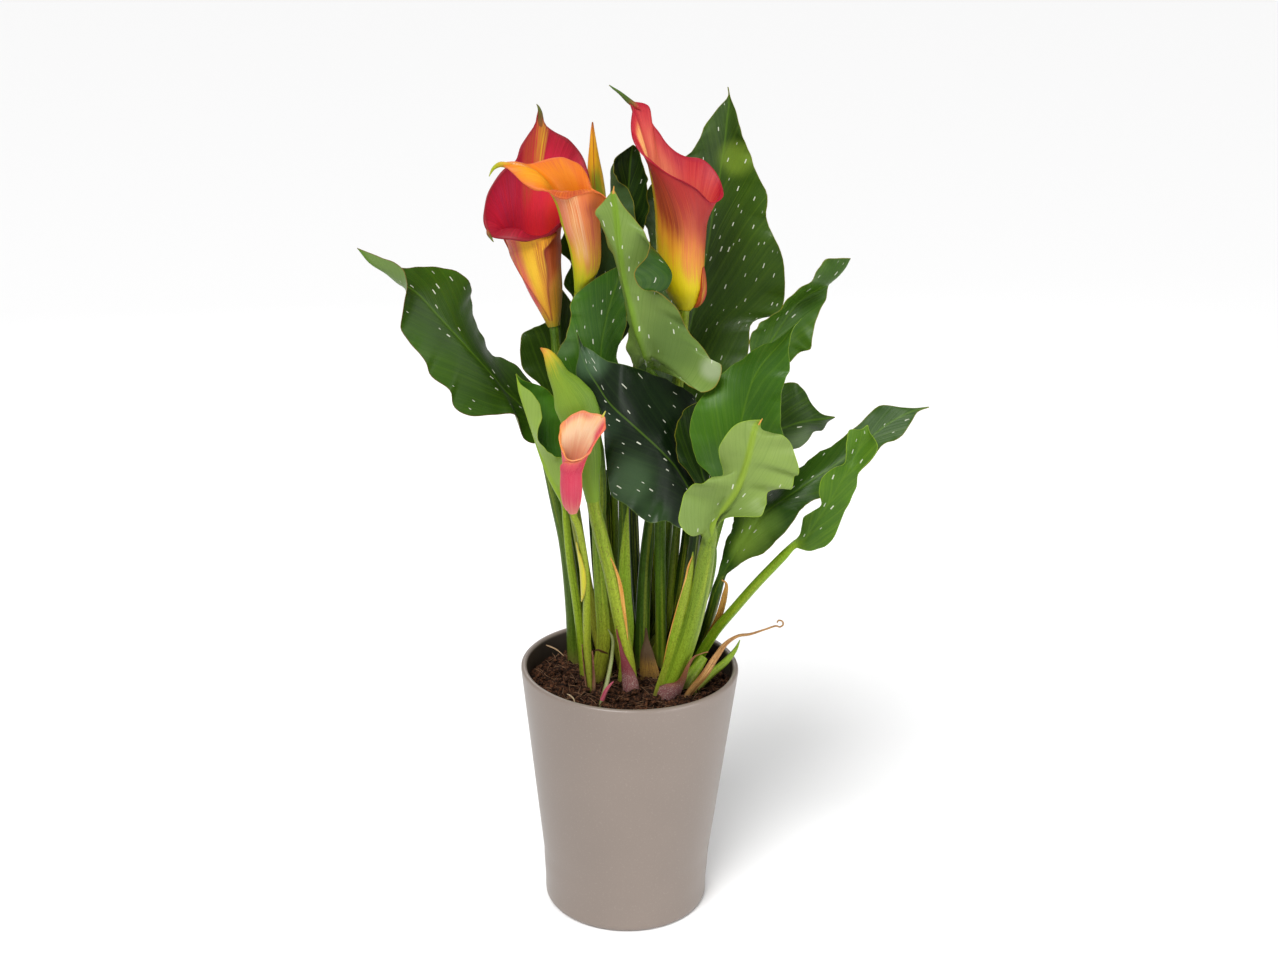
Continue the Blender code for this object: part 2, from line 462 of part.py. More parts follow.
# Young stalks, rolled shoots and dry sheaths that stand in the soil: column, row, toward and half widths from
# the tip down, then the half widths at the soil.
ROLLS = {
    "sheath_brown_centre": {
        "roll": [(646, 628, -8, 0.5, 0.4), (646.5, 640, -6, 1.6, 1.0), (647, 654, -3, 4.2, 1.6)],
        "ground": (13.5, 1), "foot": (6.4, 2.2), "colour": (0.240, 0.140, 0.050),
    },
    "sheath_dry_right": {
        "roll": [
            (722, 580, 20.5, 0.4, 0.4), (726, 583, 18.5, 0.8, 0.5), (724.5, 596, 11, 1.8, 0.6),
            (719, 616, 1.5, 2.1, 0.7), (712, 630, -8.5, 1.9, 0.7), (704, 645, -16, 1.6, 0.8),
        ],
        "ground": (46, 26), "foot": (1.6, 0.9), "colour": (0.600, 0.300, 0.080),
    },
    "shoot_stub": {
        "roll": [(704, 657, -2, 2.6, 2.4), (698, 666, 1, 3.4, 3.2), (690, 677, 6, 4.0, 3.6)],
        "ground": (35, -9.5), "foot": (4.2, 3.8), "colour": (0.330, 0.400, 0.070),
    },
    "shoot_green": {
        "roll": [
            (740, 640, -6, 0.3, 0.3), (735, 650, -4, 1.3, 1.1), (725, 662, 0, 2.2, 1.8), (711, 674, 6, 2.4, 2.2),
        ],
        "ground": (42, -15), "foot": (2.4, 2.4), "colour": (0.220, 0.420, 0.040),
    },
    "shoot_thin": {
        "roll": [
            (608, 629, 18, 0.3, 0.3), (612.5, 638, 20, 0.9, 0.9), (612, 656, 24, 1.1, 1.1),
            (607, 682, 32, 1.3, 1.3),
        ],
        "ground": (-17.5, -38.5), "foot": (1.5, 1.5), "colour": (0.380, 0.450, 0.180),
    },
    "stalk_olive_left": {
        "roll": [
            (594.5, 492, 21, 0.4, 0.4), (595.5, 515, 19, 2.2, 1.6), (598, 550, 15, 3.4, 2.4),
            (601, 595, 10, 4.1, 2.8), (603.5, 640, 6, 4.5, 3.2),
        ],
        "ground": (-21, -4.5), "foot": (4.4, 3.2), "colour": (0.300, 0.300, 0.040),
    },
    "shoot_lime": {
        "roll": [
            (628, 506, 8, 0.3, 0.3), (626.5, 525, 8, 1.6, 1.0), (625, 555, 7, 3.2, 1.8),
            (625, 590, 5, 4.0, 2.2), (628, 630, 3, 3.8, 2.4),
        ],
        "ground": (-4, -3), "foot": (3.6, 2.6), "colour": (0.330, 0.470, 0.030),
    },
    "stalk_dark_back": {
        "roll": [
            (633, 468, -38, 0.4, 0.4), (633, 500, -38, 2.4, 2.0), (634, 540, -39, 3.0, 2.4),
            (637, 590, -40, 3.4, 2.8), (640, 635, -41, 3.6, 3.0),
        ],
        "ground": (0.5, 41.5), "foot": (3.6, 3.0), "colour": (0.060, 0.130, 0.030),
    },
    "stalk_lime_right": {
        "roll": [
            (680, 478, -20, 0.4, 0.4), (678, 515, -20.5, 2.2, 1.6), (675, 550, -21, 2.8, 2.0),
            (671, 590, -22, 3.0, 2.0), (666, 625, -22.5, 2.8, 2.0),
        ],
        "ground": (13, 25), "foot": (2.6, 2.0), "colour": (0.230, 0.310, 0.050),
    },
    "tendril_dry": {
        "roll": [
            (777, 625, 20, 0.5, 0.5), (766, 629, 20, 0.9, 0.7), (750, 634, 20, 1.1, 0.9), (738, 636, 20, 1.3, 1.0),
            (727, 643, 21, 1.5, 1.0), (716, 657, 23, 2.0, 1.2), (706, 672, 26, 2.2, 1.4),
        ],
        "ground": (36, -24), "foot": (2.2, 1.6), "colour": (0.300, 0.170, 0.070),
    },
}


def seen(point):
    """Point in metres for a photograph column and row at a given distance toward the eye."""
    column, row, toward = point
    across, down = column - CENTRE[0], row - CENTRE[1]
    cos_t, sin_t = math.cos(TILT), math.sin(TILT)
    across, down = cos_t * across + sin_t * down, cos_t * down - sin_t * across
    look = Vector((0, math.cos(LOOK_DOWN), -math.sin(LOOK_DOWN)))
    above = Vector((0, math.sin(LOOK_DOWN), math.cos(LOOK_DOWN)))
    ray = look + Vector((across / FOCAL, 0, 0)) - above * (down / FOCAL)
    return EYE + ray * ((-toward / 1000 - EYE.y) / ray.y)


def spline(points, where):
    """Smooth curve through the points, with where running from 0 to len(points) - 1."""
    last = len(points) - 1
    k = max(0, min(last - 1, int(where)))
    t = where - k
    p1, p2 = points[k], points[k + 1]
    p0 = points[k - 1] if k > 0 else p1 * 2 - p2
    p3 = points[k + 2] if k + 2 <= last else p2 * 2 - p1
    return 0.5 * (2 * p1 + (p2 - p0) * t + (2 * p0 - 5 * p1 + 4 * p2 - p3) * t * t
                  + (3 * p1 - p0 - 3 * p2 + p3) * t ** 3)


def along(points, count):
    """Evenly spaced points of the curve through the given ones."""
    last = len(points) - 1
    return [spline(points, last * k / (count - 1)) for k in range(count)]


def new_object(name, vertices, faces, colour, roughness=0.45, smooth=True):
    """Closed mesh object with its own material."""
    mesh = bpy.data.meshes.new(name)
    mesh.from_pydata([tuple(v) for v in vertices], [], faces)
    mesh.validate()
    if smooth:
        mesh.shade_smooth()
        mesh.set_sharp_from_angle(angle=math.radians(45))
    obj = bpy.data.objects.new(name, mesh)
    bpy.context.collection.objects.link(obj)
    material = bpy.data.materials.new(name)
    material.use_nodes = True
    shader = material.node_tree.nodes["Principled BSDF"]
    shader.inputs["Base Color"].default_value = (*colour, 1)
    shader.inputs["Roughness"].default_value = roughness
    shader.inputs["Metallic"].default_value = 0.0
    mesh.materials.append(material)
    return obj


def ring_faces(rings, sides):
    """Triangles of a tube whose rings follow each other in one vertex list, each quad split the same way."""
    faces = []
    for r in range(rings - 1):
        for k in range(sides):
            a, b = r * sides + k, r * sides + (k + 1) % sides
            c, d = b + sides, a + sides
            faces += [(a, b, c), (a, c, d)]
    return faces


def blade_faces(vertices, rings, columns):
    """Triangles of a flattened tube. Each quad is split along its short diagonal, alike on both faces."""
    sides = 2 * columns
    faces = []
    for r in range(rings - 1):
        for k in range(sides):
            a, b = r * sides + k, r * sides + (k + 1) % sides
            c, d = b + sides, a + sides
            j = min(k, sides - 2 - k) if k < sides - 1 else 0
            p, q = r * sides + j, r * sides + j + 1
            rising = (vertices[p] - vertices[q + sides]).length <= (vertices[q] - vertices[p + sides]).length
            if rising == (k < columns):
                faces += [(a, b, c), (a, c, d)]
            else:
                faces += [(a, b, d), (b, c, d)]
    return faces


def frames(path, across):
    """Tangent and two side directions at each point of a path, carried along without twist."""
    out = []
    for k, point in enumerate(path):
        ahead = path[min(k + 1, len(path) - 1)] - path[max(k - 1, 0)]
        tangent = ahead.normalized()
        across = (across - tangent * across.dot(tangent)).normalized()
        out.append((point, tangent, across, tangent.cross(across)))
    return out


def stem_path(points, ground):
    """Stalk path from the top down into the soil."""
    foot = Vector((ground[0] / 1000, ground[1] / 1000, SOIL_HEIGHT))
    buried = Vector((foot.x * ROOT_LEAN, foot.y * ROOT_LEAN, SOIL_HEIGHT - ROOT_DEPTH))
    return [seen(p) for p in points] + [foot, buried]


def tube(path, widths, sides):
    """Vertices and faces of a tube with its own half widths, across and toward the eye, at each point."""
    vertices = []
    for (point, _, side, up), (wide, deep) in zip(frames(path, Vector((1, 0, 0))), widths):
        for k in range(sides):
            angle = 2 * math.pi * (k + 0.5) / sides
            vertices.append(point + side * (wide * math.cos(angle)) + up * (deep * math.sin(angle)))
    faces = ring_faces(len(path), sides)
    vertices += [path[0].copy(), path[-1].copy()]
    first, last = len(vertices) - 2, len(vertices) - 1
    base = (len(path) - 1) * sides
    faces += [(first, (k + 1) % sides, k) for k in range(sides)]
    faces += [(last, base + k, base + (k + 1) % sides) for k in range(sides)]
    return vertices, faces


def fix_normals(obj):
    """Turn every face outward."""
    mesh = bmesh.new()
    mesh.from_mesh(obj.data)
    bmesh.ops.recalc_face_normals(mesh, faces=mesh.faces)
    mesh.to_mesh(obj.data)
    mesh.free()


def pot():
    """Turned pot: straight taper to a knee, an upright foot, a rounded rim and a flat floor."""
    inner_foot = KNEE_RADIUS - WALL - INNER_STEP
    profile = [
        (FOOT_RADIUS - FOOT_ROUND, 0), (FOOT_RADIUS - FOOT_ROUND / 3, FOOT_ROUND / 4), (FOOT_RADIUS, FOOT_ROUND),
        (FOOT_RADIUS + (KNEE_RADIUS - FOOT_RADIUS) / 3, KNEE_HEIGHT / 2), (KNEE_RADIUS, KNEE_HEIGHT),
        (KNEE_RADIUS + (KNEE_RADIUS - FOOT_RADIUS), KNEE_HEIGHT + 2 * FOOT_ROUND),
        (RIM_RADIUS, POT_HEIGHT - RIM_EDGE), (RIM_RADIUS - RIM_ROUND, POT_HEIGHT - RIM_EDGE / 7),
        (RIM_RADIUS - WALL + RIM_ROUND, POT_HEIGHT), (RIM_RADIUS - WALL, POT_HEIGHT - RIM_EDGE),
        (inner_foot, KNEE_HEIGHT), (inner_foot - INNER_STEP, FLOOR),
    ]
    vertices, faces = [], []
    for radius, height in profile:
        for k in range(POT_SIDES):
            angle = 2 * math.pi * k / POT_SIDES
            vertices.append(Vector((radius * math.cos(angle), radius * math.sin(angle), height)))
    faces = ring_faces(len(profile), POT_SIDES)
    vertices += [Vector((0, 0, 0)), Vector((0, 0, FLOOR))]
    under, floor = len(vertices) - 2, len(vertices) - 1
    base = (len(profile) - 1) * POT_SIDES
    faces += [(under, (k + 1) % POT_SIDES, k) for k in range(POT_SIDES)]
    faces += [(floor, base + k, base + (k + 1) % POT_SIDES) for k in range(POT_SIDES)]
    fix_normals(new_object("pot", vertices, faces, (0.330, 0.285, 0.245), 0.35))


def inner_radius(height):
    """Radius of the pot's inside at a height."""
    inner_foot = KNEE_RADIUS - WALL - INNER_STEP
    share = (height - KNEE_HEIGHT) / (POT_HEIGHT - RIM_EDGE - KNEE_HEIGHT)
    return inner_foot + (RIM_RADIUS - WALL - inner_foot) * share if share > 0 else inner_foot - INNER_STEP


def soil_top(x, y):
    """Height of the uneven soil: two waves that cross, a finer one aslant, and a low crown in the middle."""
    first, second, third, fourth = SOIL_WAVES
    wave = math.sin(x * first + 1.0) * math.sin(y * second + 0.4) + 0.6 * math.sin(x * third - y * fourth)
    crown = 1 - (x * x + y * y) / inner_radius(SOIL_HEIGHT) ** 2
    return SOIL_HEIGHT + SOIL_LUMP * wave + SOIL_CROWN * crown


def soil(cutters):
    """Soil with a lumpy top and a plain hole for each stem."""
    shrink = math.cos(math.pi / POT_SIDES)
    edge = inner_radius(SOIL_HEIGHT) * shrink - 2 * CLEARANCE
    vertices, rings = [Vector((0, 0, soil_top(0, 0)))], []
    for radius in (*SOIL_RINGS, edge):
        rings.append(len(vertices))
        for k in range(POT_SIDES):
            angle = 2 * math.pi * (k + SOIL_TURN) / POT_SIDES
            x, y = radius * math.cos(angle), radius * math.sin(angle)
            vertices.append(Vector((x, y, soil_top(x, y))))
    for height in (KNEE_HEIGHT, FLOOR + CLEARANCE):
        rings.append(len(vertices))
        radius = inner_radius(height) * shrink - 2 * CLEARANCE
        for k in range(POT_SIDES):
            angle = 2 * math.pi * (k + SOIL_TURN) / POT_SIDES
            vertices.append(Vector((radius * math.cos(angle), radius * math.sin(angle), height)))
    faces = [(0, 1 + k, 1 + (k + 1) % POT_SIDES) for k in range(POT_SIDES)]
    for start, after in zip(rings, rings[1:]):
        for k in range(POT_SIDES):
            n = (k + 1) % POT_SIDES
            faces += [(start + k, after + k, after + n), (start + k, after + n, start + n)]
    vertices.append(Vector((0, 0, FLOOR + CLEARANCE)))
    faces += [(len(vertices) - 1, rings[-1] + (k + 1) % POT_SIDES, rings[-1] + k) for k in range(POT_SIDES)]
    obj = new_object("soil", vertices, faces, (0.040, 0.024, 0.015), 0.95, smooth=False)
    fix_normals(obj)
    for cutter in cutters:
        cut = obj.modifiers.new("hole", 'BOOLEAN')
        cut.operation = 'DIFFERENCE'
        cut.object = cutter


def hole(name, path, wide, deep):
    """Cutter for the hole that a stem of this path and these half widths stands in."""
    grow = 1 / math.cos(math.pi / HOLE_SIDES)
    last = frames(path, Vector((1, 0, 0)))[-2:]
    top, bottom = last[0][0], last[1][0]
    above = top + (path[-3] - top).normalized() * HOLE_RISE
    line = [above, top, bottom + (bottom - top).normalized() * CLEARANCE]
    vertices = []
    for point, (_, _, side, up) in zip(line, (last[0], last[0], last[1])):
        for k in range(HOLE_SIDES):
            angle = 2 * math.pi * (k + 0.5) / HOLE_SIDES
            across, toward = (wide + 2 * CLEARANCE) * grow, (deep + 2 * CLEARANCE) * grow
            vertices.append(point + side * (across * math.cos(angle)) + up * (toward * math.sin(angle)))
    faces = ring_faces(3, HOLE_SIDES)
    faces += [tuple(range(HOLE_SIDES))[::-1], tuple(range(2 * HOLE_SIDES, 3 * HOLE_SIDES))]
    obj = new_object(name + "_hole", vertices, faces, (0, 0, 0), smooth=False)
    fix_normals(obj)
    obj.hide_render = True
    obj.display_type = 'WIRE'
    return obj


def net_rows(net, columns):
    """Turn a leaf's stations into rows of points, evenly spread from margin to margin."""
    rows = []
    for station in net:
        if isinstance(station, tuple):
            centre = seen(station)
            across = (rows[-1][-1] - rows[-1][0]).normalized()
            rows.append([centre + across * (TIP_WIDTH * (k / (columns - 1) - 0.5)) for k in range(columns)])
        else:
            rows.append(along([seen(p) for p in station], columns))
    return rows


def row_normals(rows, closed=False):
    """Direction out of the upper face at each point of the rows, which is the mean over the quads around it."""
    high, wide = len(rows), len(rows[0])
    normals = [[Vector() for _ in row] for row in rows]
    for i in range(high - 1):
        for j in range(wide if closed else wide - 1):
            n = (j + 1) % wide
            face = (rows[i + 1][n] - rows[i][j]).cross(rows[i + 1][j] - rows[i][n]).normalized()
            for a, b in ((i, j), (i, n), (i + 1, j), (i + 1, n)):
                normals[a][b] += face
    return [[normal.normalized() for normal in line] for line in normals]


def blade_rings(rows, rib):
    """Rings round the blade, over the upper face and back under it, with a rib that fades to the tip."""
    rings = []
    normals = row_normals(rows)
    columns = len(rows[0])
    middle = (columns - 1) / 2
    for i, row in enumerate(rows):
        fade = max(0.0, 1 - i / (len(rows) - 1)) ** 2
        thin = BLADE / 2 if i < len(rows) - 1 else BLADE / 3
        over = [p + n * thin for p, n in zip(row, normals[i])]
        under = []
        for j, (p, n) in enumerate(zip(row, normals[i])):
            swell = rib * fade * max(0.0, 1 - abs(j - middle) / 1.5)
            under.append(p - n * (thin + swell))
        rings.append(over + under[::-1])
    return rings


def leaf(name, plan):
    """Blade and stalk as one closed solid."""
    columns = 5 if len(plan["net"][1]) == 3 else 7
    rows = net_rows(plan["net"], columns)
    foot_radius, top_radius = (r / 1000 for r in plan["radius"])
    rings = blade_rings(rows, top_radius * RIB)
    sides = 2 * columns
    controls = stem_path(plan["stalk"], plan["ground"])
    path = along(controls, STALK_RINGS)
    path[-2:] = controls[-2:]
    across = (rows[0][-1] - rows[0][0]).normalized()
    count = len(path)
    stalk = []
    for k, (point, tangent, side, up) in enumerate(frames(path, across)):
        radius = top_radius + (foot_radius - top_radius) * (k / (count - 1)) ** STALK_FLARE
        ring = []
        for j in range(sides):
            angle = math.pi - math.pi * (j + 0.5) / columns
            ring.append(point + (side * math.cos(angle) + up * math.sin(angle)) * radius)
        stalk.append(ring)
    rings = stalk[::-1] + rings
    vertices = [v for ring in rings for v in ring]
    faces = blade_faces(vertices, len(rings), columns)
    vertices.append(path[-1].copy())
    foot = len(vertices) - 1
    faces += [(foot, (k + 1) % sides, k) for k in range(sides)]
    last = (len(rings) - 1) * sides
    for j in range(columns - 1):
        a, b = last + j, last + j + 1
        c, d = last + sides - 2 - j, last + sides - 1 - j
        faces += [(a, b, c), (a, c, d)]
    fix_normals(new_object(name, vertices, faces, plan["colour"]))
    return path, foot_radius


def strip(name, rows, colour):
    """Thin curved sheath as one closed solid."""
    rings = blade_rings(rows, 0.0)
    columns = len(rows[0])
    sides = 2 * columns
    vertices = [v for ring in rings for v in ring]
    faces = blade_faces(vertices, len(rings), columns)
    for start in (0, (len(rings) - 1) * sides):
        for j in range(columns - 1):
            a, b = start + j, start + j + 1
            c, d = start + sides - 2 - j, start + sides - 1 - j
            faces += [(a, b, c), (a, c, d)]
    fix_normals(new_object(name, vertices, faces, colour))


def stem(name, points, ground, radius_top, radius_foot, start):
    """Round flower stem from under its bloom into the soil."""
    controls = stem_path(points, ground)
    path = start + along(controls, STEM_RINGS)
    path[-2:] = controls[-2:]
    count = len(path)
    radii = [radius_top + (radius_foot - radius_top) * min(1, 2 * k / (count - 1)) for k in range(count)]
    vertices, faces = tube(path, [(r, r) for r in radii], STEM_SIDES)
    fix_normals(new_object(name, vertices, faces, STEM_GREEN))
    return path, radius_foot


def bloom(name, plan, around=16):
    """Wrapped petal, its stem and its spadix."""
    centres = [seen(p[:3]) for p in plan["axis"]]
    radii = [p[3] / 1000 for p in plan["axis"]]
    rim_points = [seen(p) for p in plan["rim"]]
    closed = rim_points[-1:] + rim_points + rim_points[:2]
    turns = len(rim_points)
    rim = [spline(closed, 1 + turns * k / around) for k in range(around)]
    loops = []
    for point, tangent, side, up in frames(centres, Vector((0, 1, 0))):
        radius = radii[centres.index(point)]
        right = side.cross(tangent)
        loops.append([point + (side * math.cos(2 * math.pi * k / around)
                               + right * math.sin(2 * math.pi * k / around)) * radius for k in range(around)])
    axis_up = (centres[-1] - centres[-2]).normalized()
    throat = loops[-1]
    for step in RIM_STEPS:
        loop = []
        for a, c in zip(throat, rim):
            b = a + axis_up * ((c - a).length * plan["rise"])
            loop.append(a * (1 - step) ** 2 + b * (2 * step * (1 - step)) + c * step ** 2)
        loops.append(loop)
    rows = len(loops)
    normals = row_normals(loops, closed=True)
    outer = [[p + n * PETAL / 2 for p, n in zip(*line)] for line in zip(loops, normals)]
    inner = [[p - n * PETAL / 2 for p, n in zip(*line)] for line in zip(loops, normals)]
    middle = sum(outer[SEAT_RING], Vector()) / around
    if (outer[SEAT_RING][0] - middle).length < (inner[SEAT_RING][0] - middle).length:
        outer, inner = inner, outer
    rings = outer + inner[SEAT_RING:][::-1]
    vertices = [v for ring in rings for v in ring]
    faces = []
    for r in range(len(rings) - 1):
        i = min(r, 2 * rows - 2 - r)
        for k in range(around):
            n = (k + 1) % around
            a, b, c, d = r * around + k, r * around + n, (r + 1) * around + n, (r + 1) * around + k
            after = min(i + 1, rows - 1)
            rising = (loops[i][k] - loops[after][n]).length <= (loops[i][n] - loops[after][k]).length
            if rising == (r < rows - 1):
                faces += [(a, b, c), (a, c, d)]
            else:
                faces += [(a, b, d), (b, c, d)]
    vertices += [sum(outer[0], Vector()) / around, sum(inner[SEAT_RING], Vector()) / around]
    bottom, seat = len(vertices) - 2, len(vertices) - 1
    base = (len(rings) - 1) * around
    faces += [(bottom, (k + 1) % around, k) for k in range(around)]
    faces += [(seat, base + k, base + (k + 1) % around) for k in range(around)]
    fix_normals(new_object(name, vertices, faces, plan["colour"]))
    axis_low = (centres[1] - centres[0]).normalized()
    below = vertices[bottom] - axis_low * (CLEARANCE * 2)
    foot = plan["radius"] / 1000
    path, _ = stem(
        name + "_stem", plan["stem"], plan["ground"], radii[0] * STEM_TOP, foot, [below, below - axis_low * NECK])
    seat_way = (centres[SEAT_RING + 1] - centres[SEAT_RING]).normalized()
    low = vertices[seat] + seat_way * (CLEARANCE * 1.5)
    belly = low + (centres[-1] - low) * 0.7
    tall = [low, low + seat_way * NECK, belly, centres[-1], centres[-1] + axis_up * SPADIX_TIP]
    widths = [plan["spadix"] / 1000 * share for share in SPADIX_SHAPE]
    body, skin = tube(tall, [(w, w) for w in widths], STEM_SIDES)
    fix_normals(new_object(name + "_spadix", body, skin, (0.750, 0.480, 0.050), 0.6))
    return path, foot


def bud(name, plan, sides=12):
    """Closed roll of a petal with its stem."""
    centres = [seen(p[:3]) for p in plan["roll"]][::-1]
    widths = [(p[3] / 1000, p[4] / 1000) for p in plan["roll"]][::-1]
    vertices, faces = tube(centres, widths, sides)
    fix_normals(new_object(name, vertices, faces, plan["colour"]))
    way = (centres[1] - centres[0]).normalized()
    below = centres[0] - way * CLEARANCE * 1.5
    return stem(
        name + "_stem", plan["stem"], plan["ground"], min(widths[0]) * 0.95, plan["radius"] / 1000,
        [below, below - way * NECK])


def roll(name, plan, sides=STEM_SIDES):
    """Narrow shoot or dry sheath that stands in the soil."""
    path = stem_path([p[:3] for p in plan["roll"]], plan["ground"])
    path[-1] = path[-2] + (path[-1] - path[-2]) * 0.5
    wide, deep = (w / 1000 for w in plan["foot"])
    widths = [(p[3] / 1000, p[4] / 1000) for p in plan["roll"]] + [(wide, deep)] * 2
    vertices, faces = tube(path, widths, sides)
    fix_normals(new_object(name, vertices, faces, plan["colour"], 0.7))
    return path, wide, deep


def at_height(path, height):
    """Point of a stem's path, which runs down from the top, at a height above the ground."""
    for above, below in zip(path, path[1:]):
        if above.z >= height >= below.z:
            return below + (above - below) * ((height - below.z) / (above.z - below.z))
    return path[0].copy()


def wrap(name, plan, path, radius, columns=5):
    """Thin sheath that hugs one side of a stem and ends in a point."""
    reach = radius + 1.5 * CLEARANCE + BLADE / 2
    flat = math.cos(math.pi / STEM_SIDES)
    centres = [at_height(path, t[0] / 1000) for t in plan["turns"]]
    rows = []
    for (point, _, side, up), (_, facing, half) in zip(frames(centres, Vector((1, 0, 0))), plan["turns"]):
        row = []
        for k in range(columns):
            angle = math.radians(facing + half * (2 * k / (columns - 1) - 1))
            row.append(point + (side * math.sin(angle) - up * math.cos(angle)) * reach / flat)
        rows.append(row)
    for station in plan.get("tip", []):
        centre = seen(station)
        across = (rows[-1][-1] - rows[-1][0]).normalized()
        wide = TIP_WIDTH if station is plan["tip"][-1] else SHEATH_TIP
        rows.append([centre + across * (wide * (k / (columns - 1) - 0.5)) for k in range(columns)])
    strip(name, rows, plan["colour"])


def build():
    for obj in list(bpy.data.objects):
        bpy.data.objects.remove(obj, do_unlink=True)
    cutters = []
    for make, plans in ((leaf, LEAVES), (bloom, BLOOMS), (bud, BUDS)):
        for name, plan in plans.items():
            path, radius = make(name, plan)
            reach = radius
            for sheath, turns in WRAPS.items():
                if turns["on"] == name:
                    wrap(sheath, turns, path, radius)
                    reach = (radius + 1.5 * CLEARANCE + BLADE) / math.cos(math.pi / STEM_SIDES)
            cutters.append(hole(name, path, reach, reach))
    for name, plan in ROLLS.items():
        path, wide, deep = roll(name, plan)
        cutters.append(hole(name, path, wide, deep))
    pot()
    soil(cutters)


build()
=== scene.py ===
import math
import random

import bmesh
import bpy
import numpy as np
from mathutils import Matrix, Vector


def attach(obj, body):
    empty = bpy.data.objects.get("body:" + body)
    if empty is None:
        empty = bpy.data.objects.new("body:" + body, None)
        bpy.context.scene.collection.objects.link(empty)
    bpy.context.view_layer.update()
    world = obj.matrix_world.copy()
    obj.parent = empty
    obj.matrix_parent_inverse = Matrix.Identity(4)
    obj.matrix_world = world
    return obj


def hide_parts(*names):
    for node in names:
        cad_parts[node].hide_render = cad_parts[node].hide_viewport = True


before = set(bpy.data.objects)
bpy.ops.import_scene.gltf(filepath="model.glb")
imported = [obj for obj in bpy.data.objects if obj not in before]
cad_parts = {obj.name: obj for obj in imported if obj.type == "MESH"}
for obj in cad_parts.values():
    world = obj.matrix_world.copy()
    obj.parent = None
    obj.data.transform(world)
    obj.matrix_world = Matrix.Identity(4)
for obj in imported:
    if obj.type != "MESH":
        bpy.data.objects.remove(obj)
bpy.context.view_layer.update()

bpy.ops.object.select_all(action='DESELECT')

# The photograph: where its eye stood, how far it looked down, its tilt, focal length and centre in pixels.
photo = {
    "eye": (0.0034, -0.944, 0.602), "lookDown": 18.24, "tilt": 1.21,
    "focal": 1600.0, "width": 1278, "centre": (639.0, 479.5),
}


def seen(points):
    # photograph column, row and millimetres toward the eye, as metres
    points = np.asarray(points, float)
    across, down = points[..., 0] - photo["centre"][0], points[..., 1] - photo["centre"][1]
    tilt, lookDown = math.radians(photo["tilt"]), math.radians(photo["lookDown"])
    across, down = (math.cos(tilt) * across + math.sin(tilt) * down,
                    math.cos(tilt) * down - math.sin(tilt) * across)
    across, down = across / photo["focal"], down / photo["focal"]
    ray = np.stack([across, math.cos(lookDown) - math.sin(lookDown) * down,
                    -math.sin(lookDown) - math.cos(lookDown) * down], -1)
    eye = np.array(photo["eye"])
    return eye + ray * ((-points[..., 2] / 1000 - eye[1]) / ray[..., 1])[..., None]


def smoothLine(points, where):
    # curve through points along their first axis, with where running from 0 to len(points) - 1
    points, where = np.asarray(points, float), np.asarray(where, float)
    step = np.diff(points, axis=0)
    length = np.maximum(np.linalg.norm(step, axis=-1, keepdims=True), 1e-7) ** 0.5
    slope = step / length
    tangent = np.empty_like(points)
    tangent[0], tangent[-1] = slope[0], slope[-1]
    tangent[1:-1] = (slope[:-1] * length[1:] + slope[1:] * length[:-1]) / (length[1:] + length[:-1])
    k = np.clip(np.floor(where).astype(int), 0, len(points) - 2)
    t = (where - k).reshape((-1,) + (1,) * (points.ndim - 1))
    first, last = tangent[k] * length[k], tangent[k + 1] * length[k]
    return ((2 * t ** 3 - 3 * t ** 2 + 1) * points[k] + (t ** 3 - 2 * t ** 2 + t) * first
            + (3 * t ** 2 - 2 * t ** 3) * points[k + 1] + (t ** 3 - t ** 2) * last)


def curve(points, count):
    # this many places of the smooth line, from its start to its end
    return smoothLine(points, np.linspace(0, len(points) - 1, count))


def unit(vectors):
    return vectors / np.maximum(np.linalg.norm(vectors, axis=-1, keepdims=True), 1e-12)


def turns(sides):
    return 2 * math.pi * np.arange(sides) / sides


def distanceAlong(line):
    return np.concatenate([[0], np.cumsum(np.linalg.norm(np.diff(line, axis=0), axis=-1))])


def distanceFromStart(surface):
    gaps = np.linalg.norm(np.diff(surface, axis=1), axis=-1)
    return np.concatenate([np.zeros((len(surface), 1)), np.cumsum(gaps, 1)], 1)


def sideways(path, across):
    # two directions square to a path, carried along it without twist
    side, up = np.empty_like(path), np.empty_like(path)
    for k, tangent in enumerate(unit(np.gradient(path, axis=0))):
        across = unit(across - tangent * across.dot(tangent))
        side[k], up[k] = across, np.cross(tangent, across)
    return side, up


def sheetNormals(rows, closed=False):
    # mean direction of the faces round each point of a net
    grown = np.concatenate([rows, rows[:, :1]], 1) if closed else rows
    face = unit(np.cross(grown[1:, 1:] - grown[:-1, :-1], grown[1:, :-1] - grown[:-1, 1:]))
    total = np.zeros_like(grown)
    for a in (0, 1):
        for b in (0, 1):
            total[a:len(total) - 1 + a, b:total.shape[1] - 1 + b] += face
    if closed:
        total[:, 0] += total[:, -1]
        total = total[:, :-1]
    return unit(total)


def ringFaces(rings, sides):
    # quads of a tube whose rings follow each other in one list
    corner = np.arange((rings - 1) * sides).reshape(rings - 1, sides)
    ahead = np.roll(corner, -1, 1)
    return np.stack([corner, ahead, ahead + sides, corner + sides], -1).reshape(-1, 4).tolist()


def zipFaces(first, sides):
    # closes a flat ring from side to side
    return [(first + j, first + j + 1, first + sides - 2 - j, first + sides - 1 - j) for j in range(sides // 2 - 1)]


def tubeFaces(rings, sides):
    # walls of a tube and its two round ends
    last = (rings - 1) * sides
    return ringFaces(rings, sides) + [list(range(sides))[::-1], list(range(last, last + sides))]


def bothSides(front, back):
    # rows of a sheet's front, each followed by the same row of its back the other way
    return np.concatenate([front, back[:, ::-1]], 1)


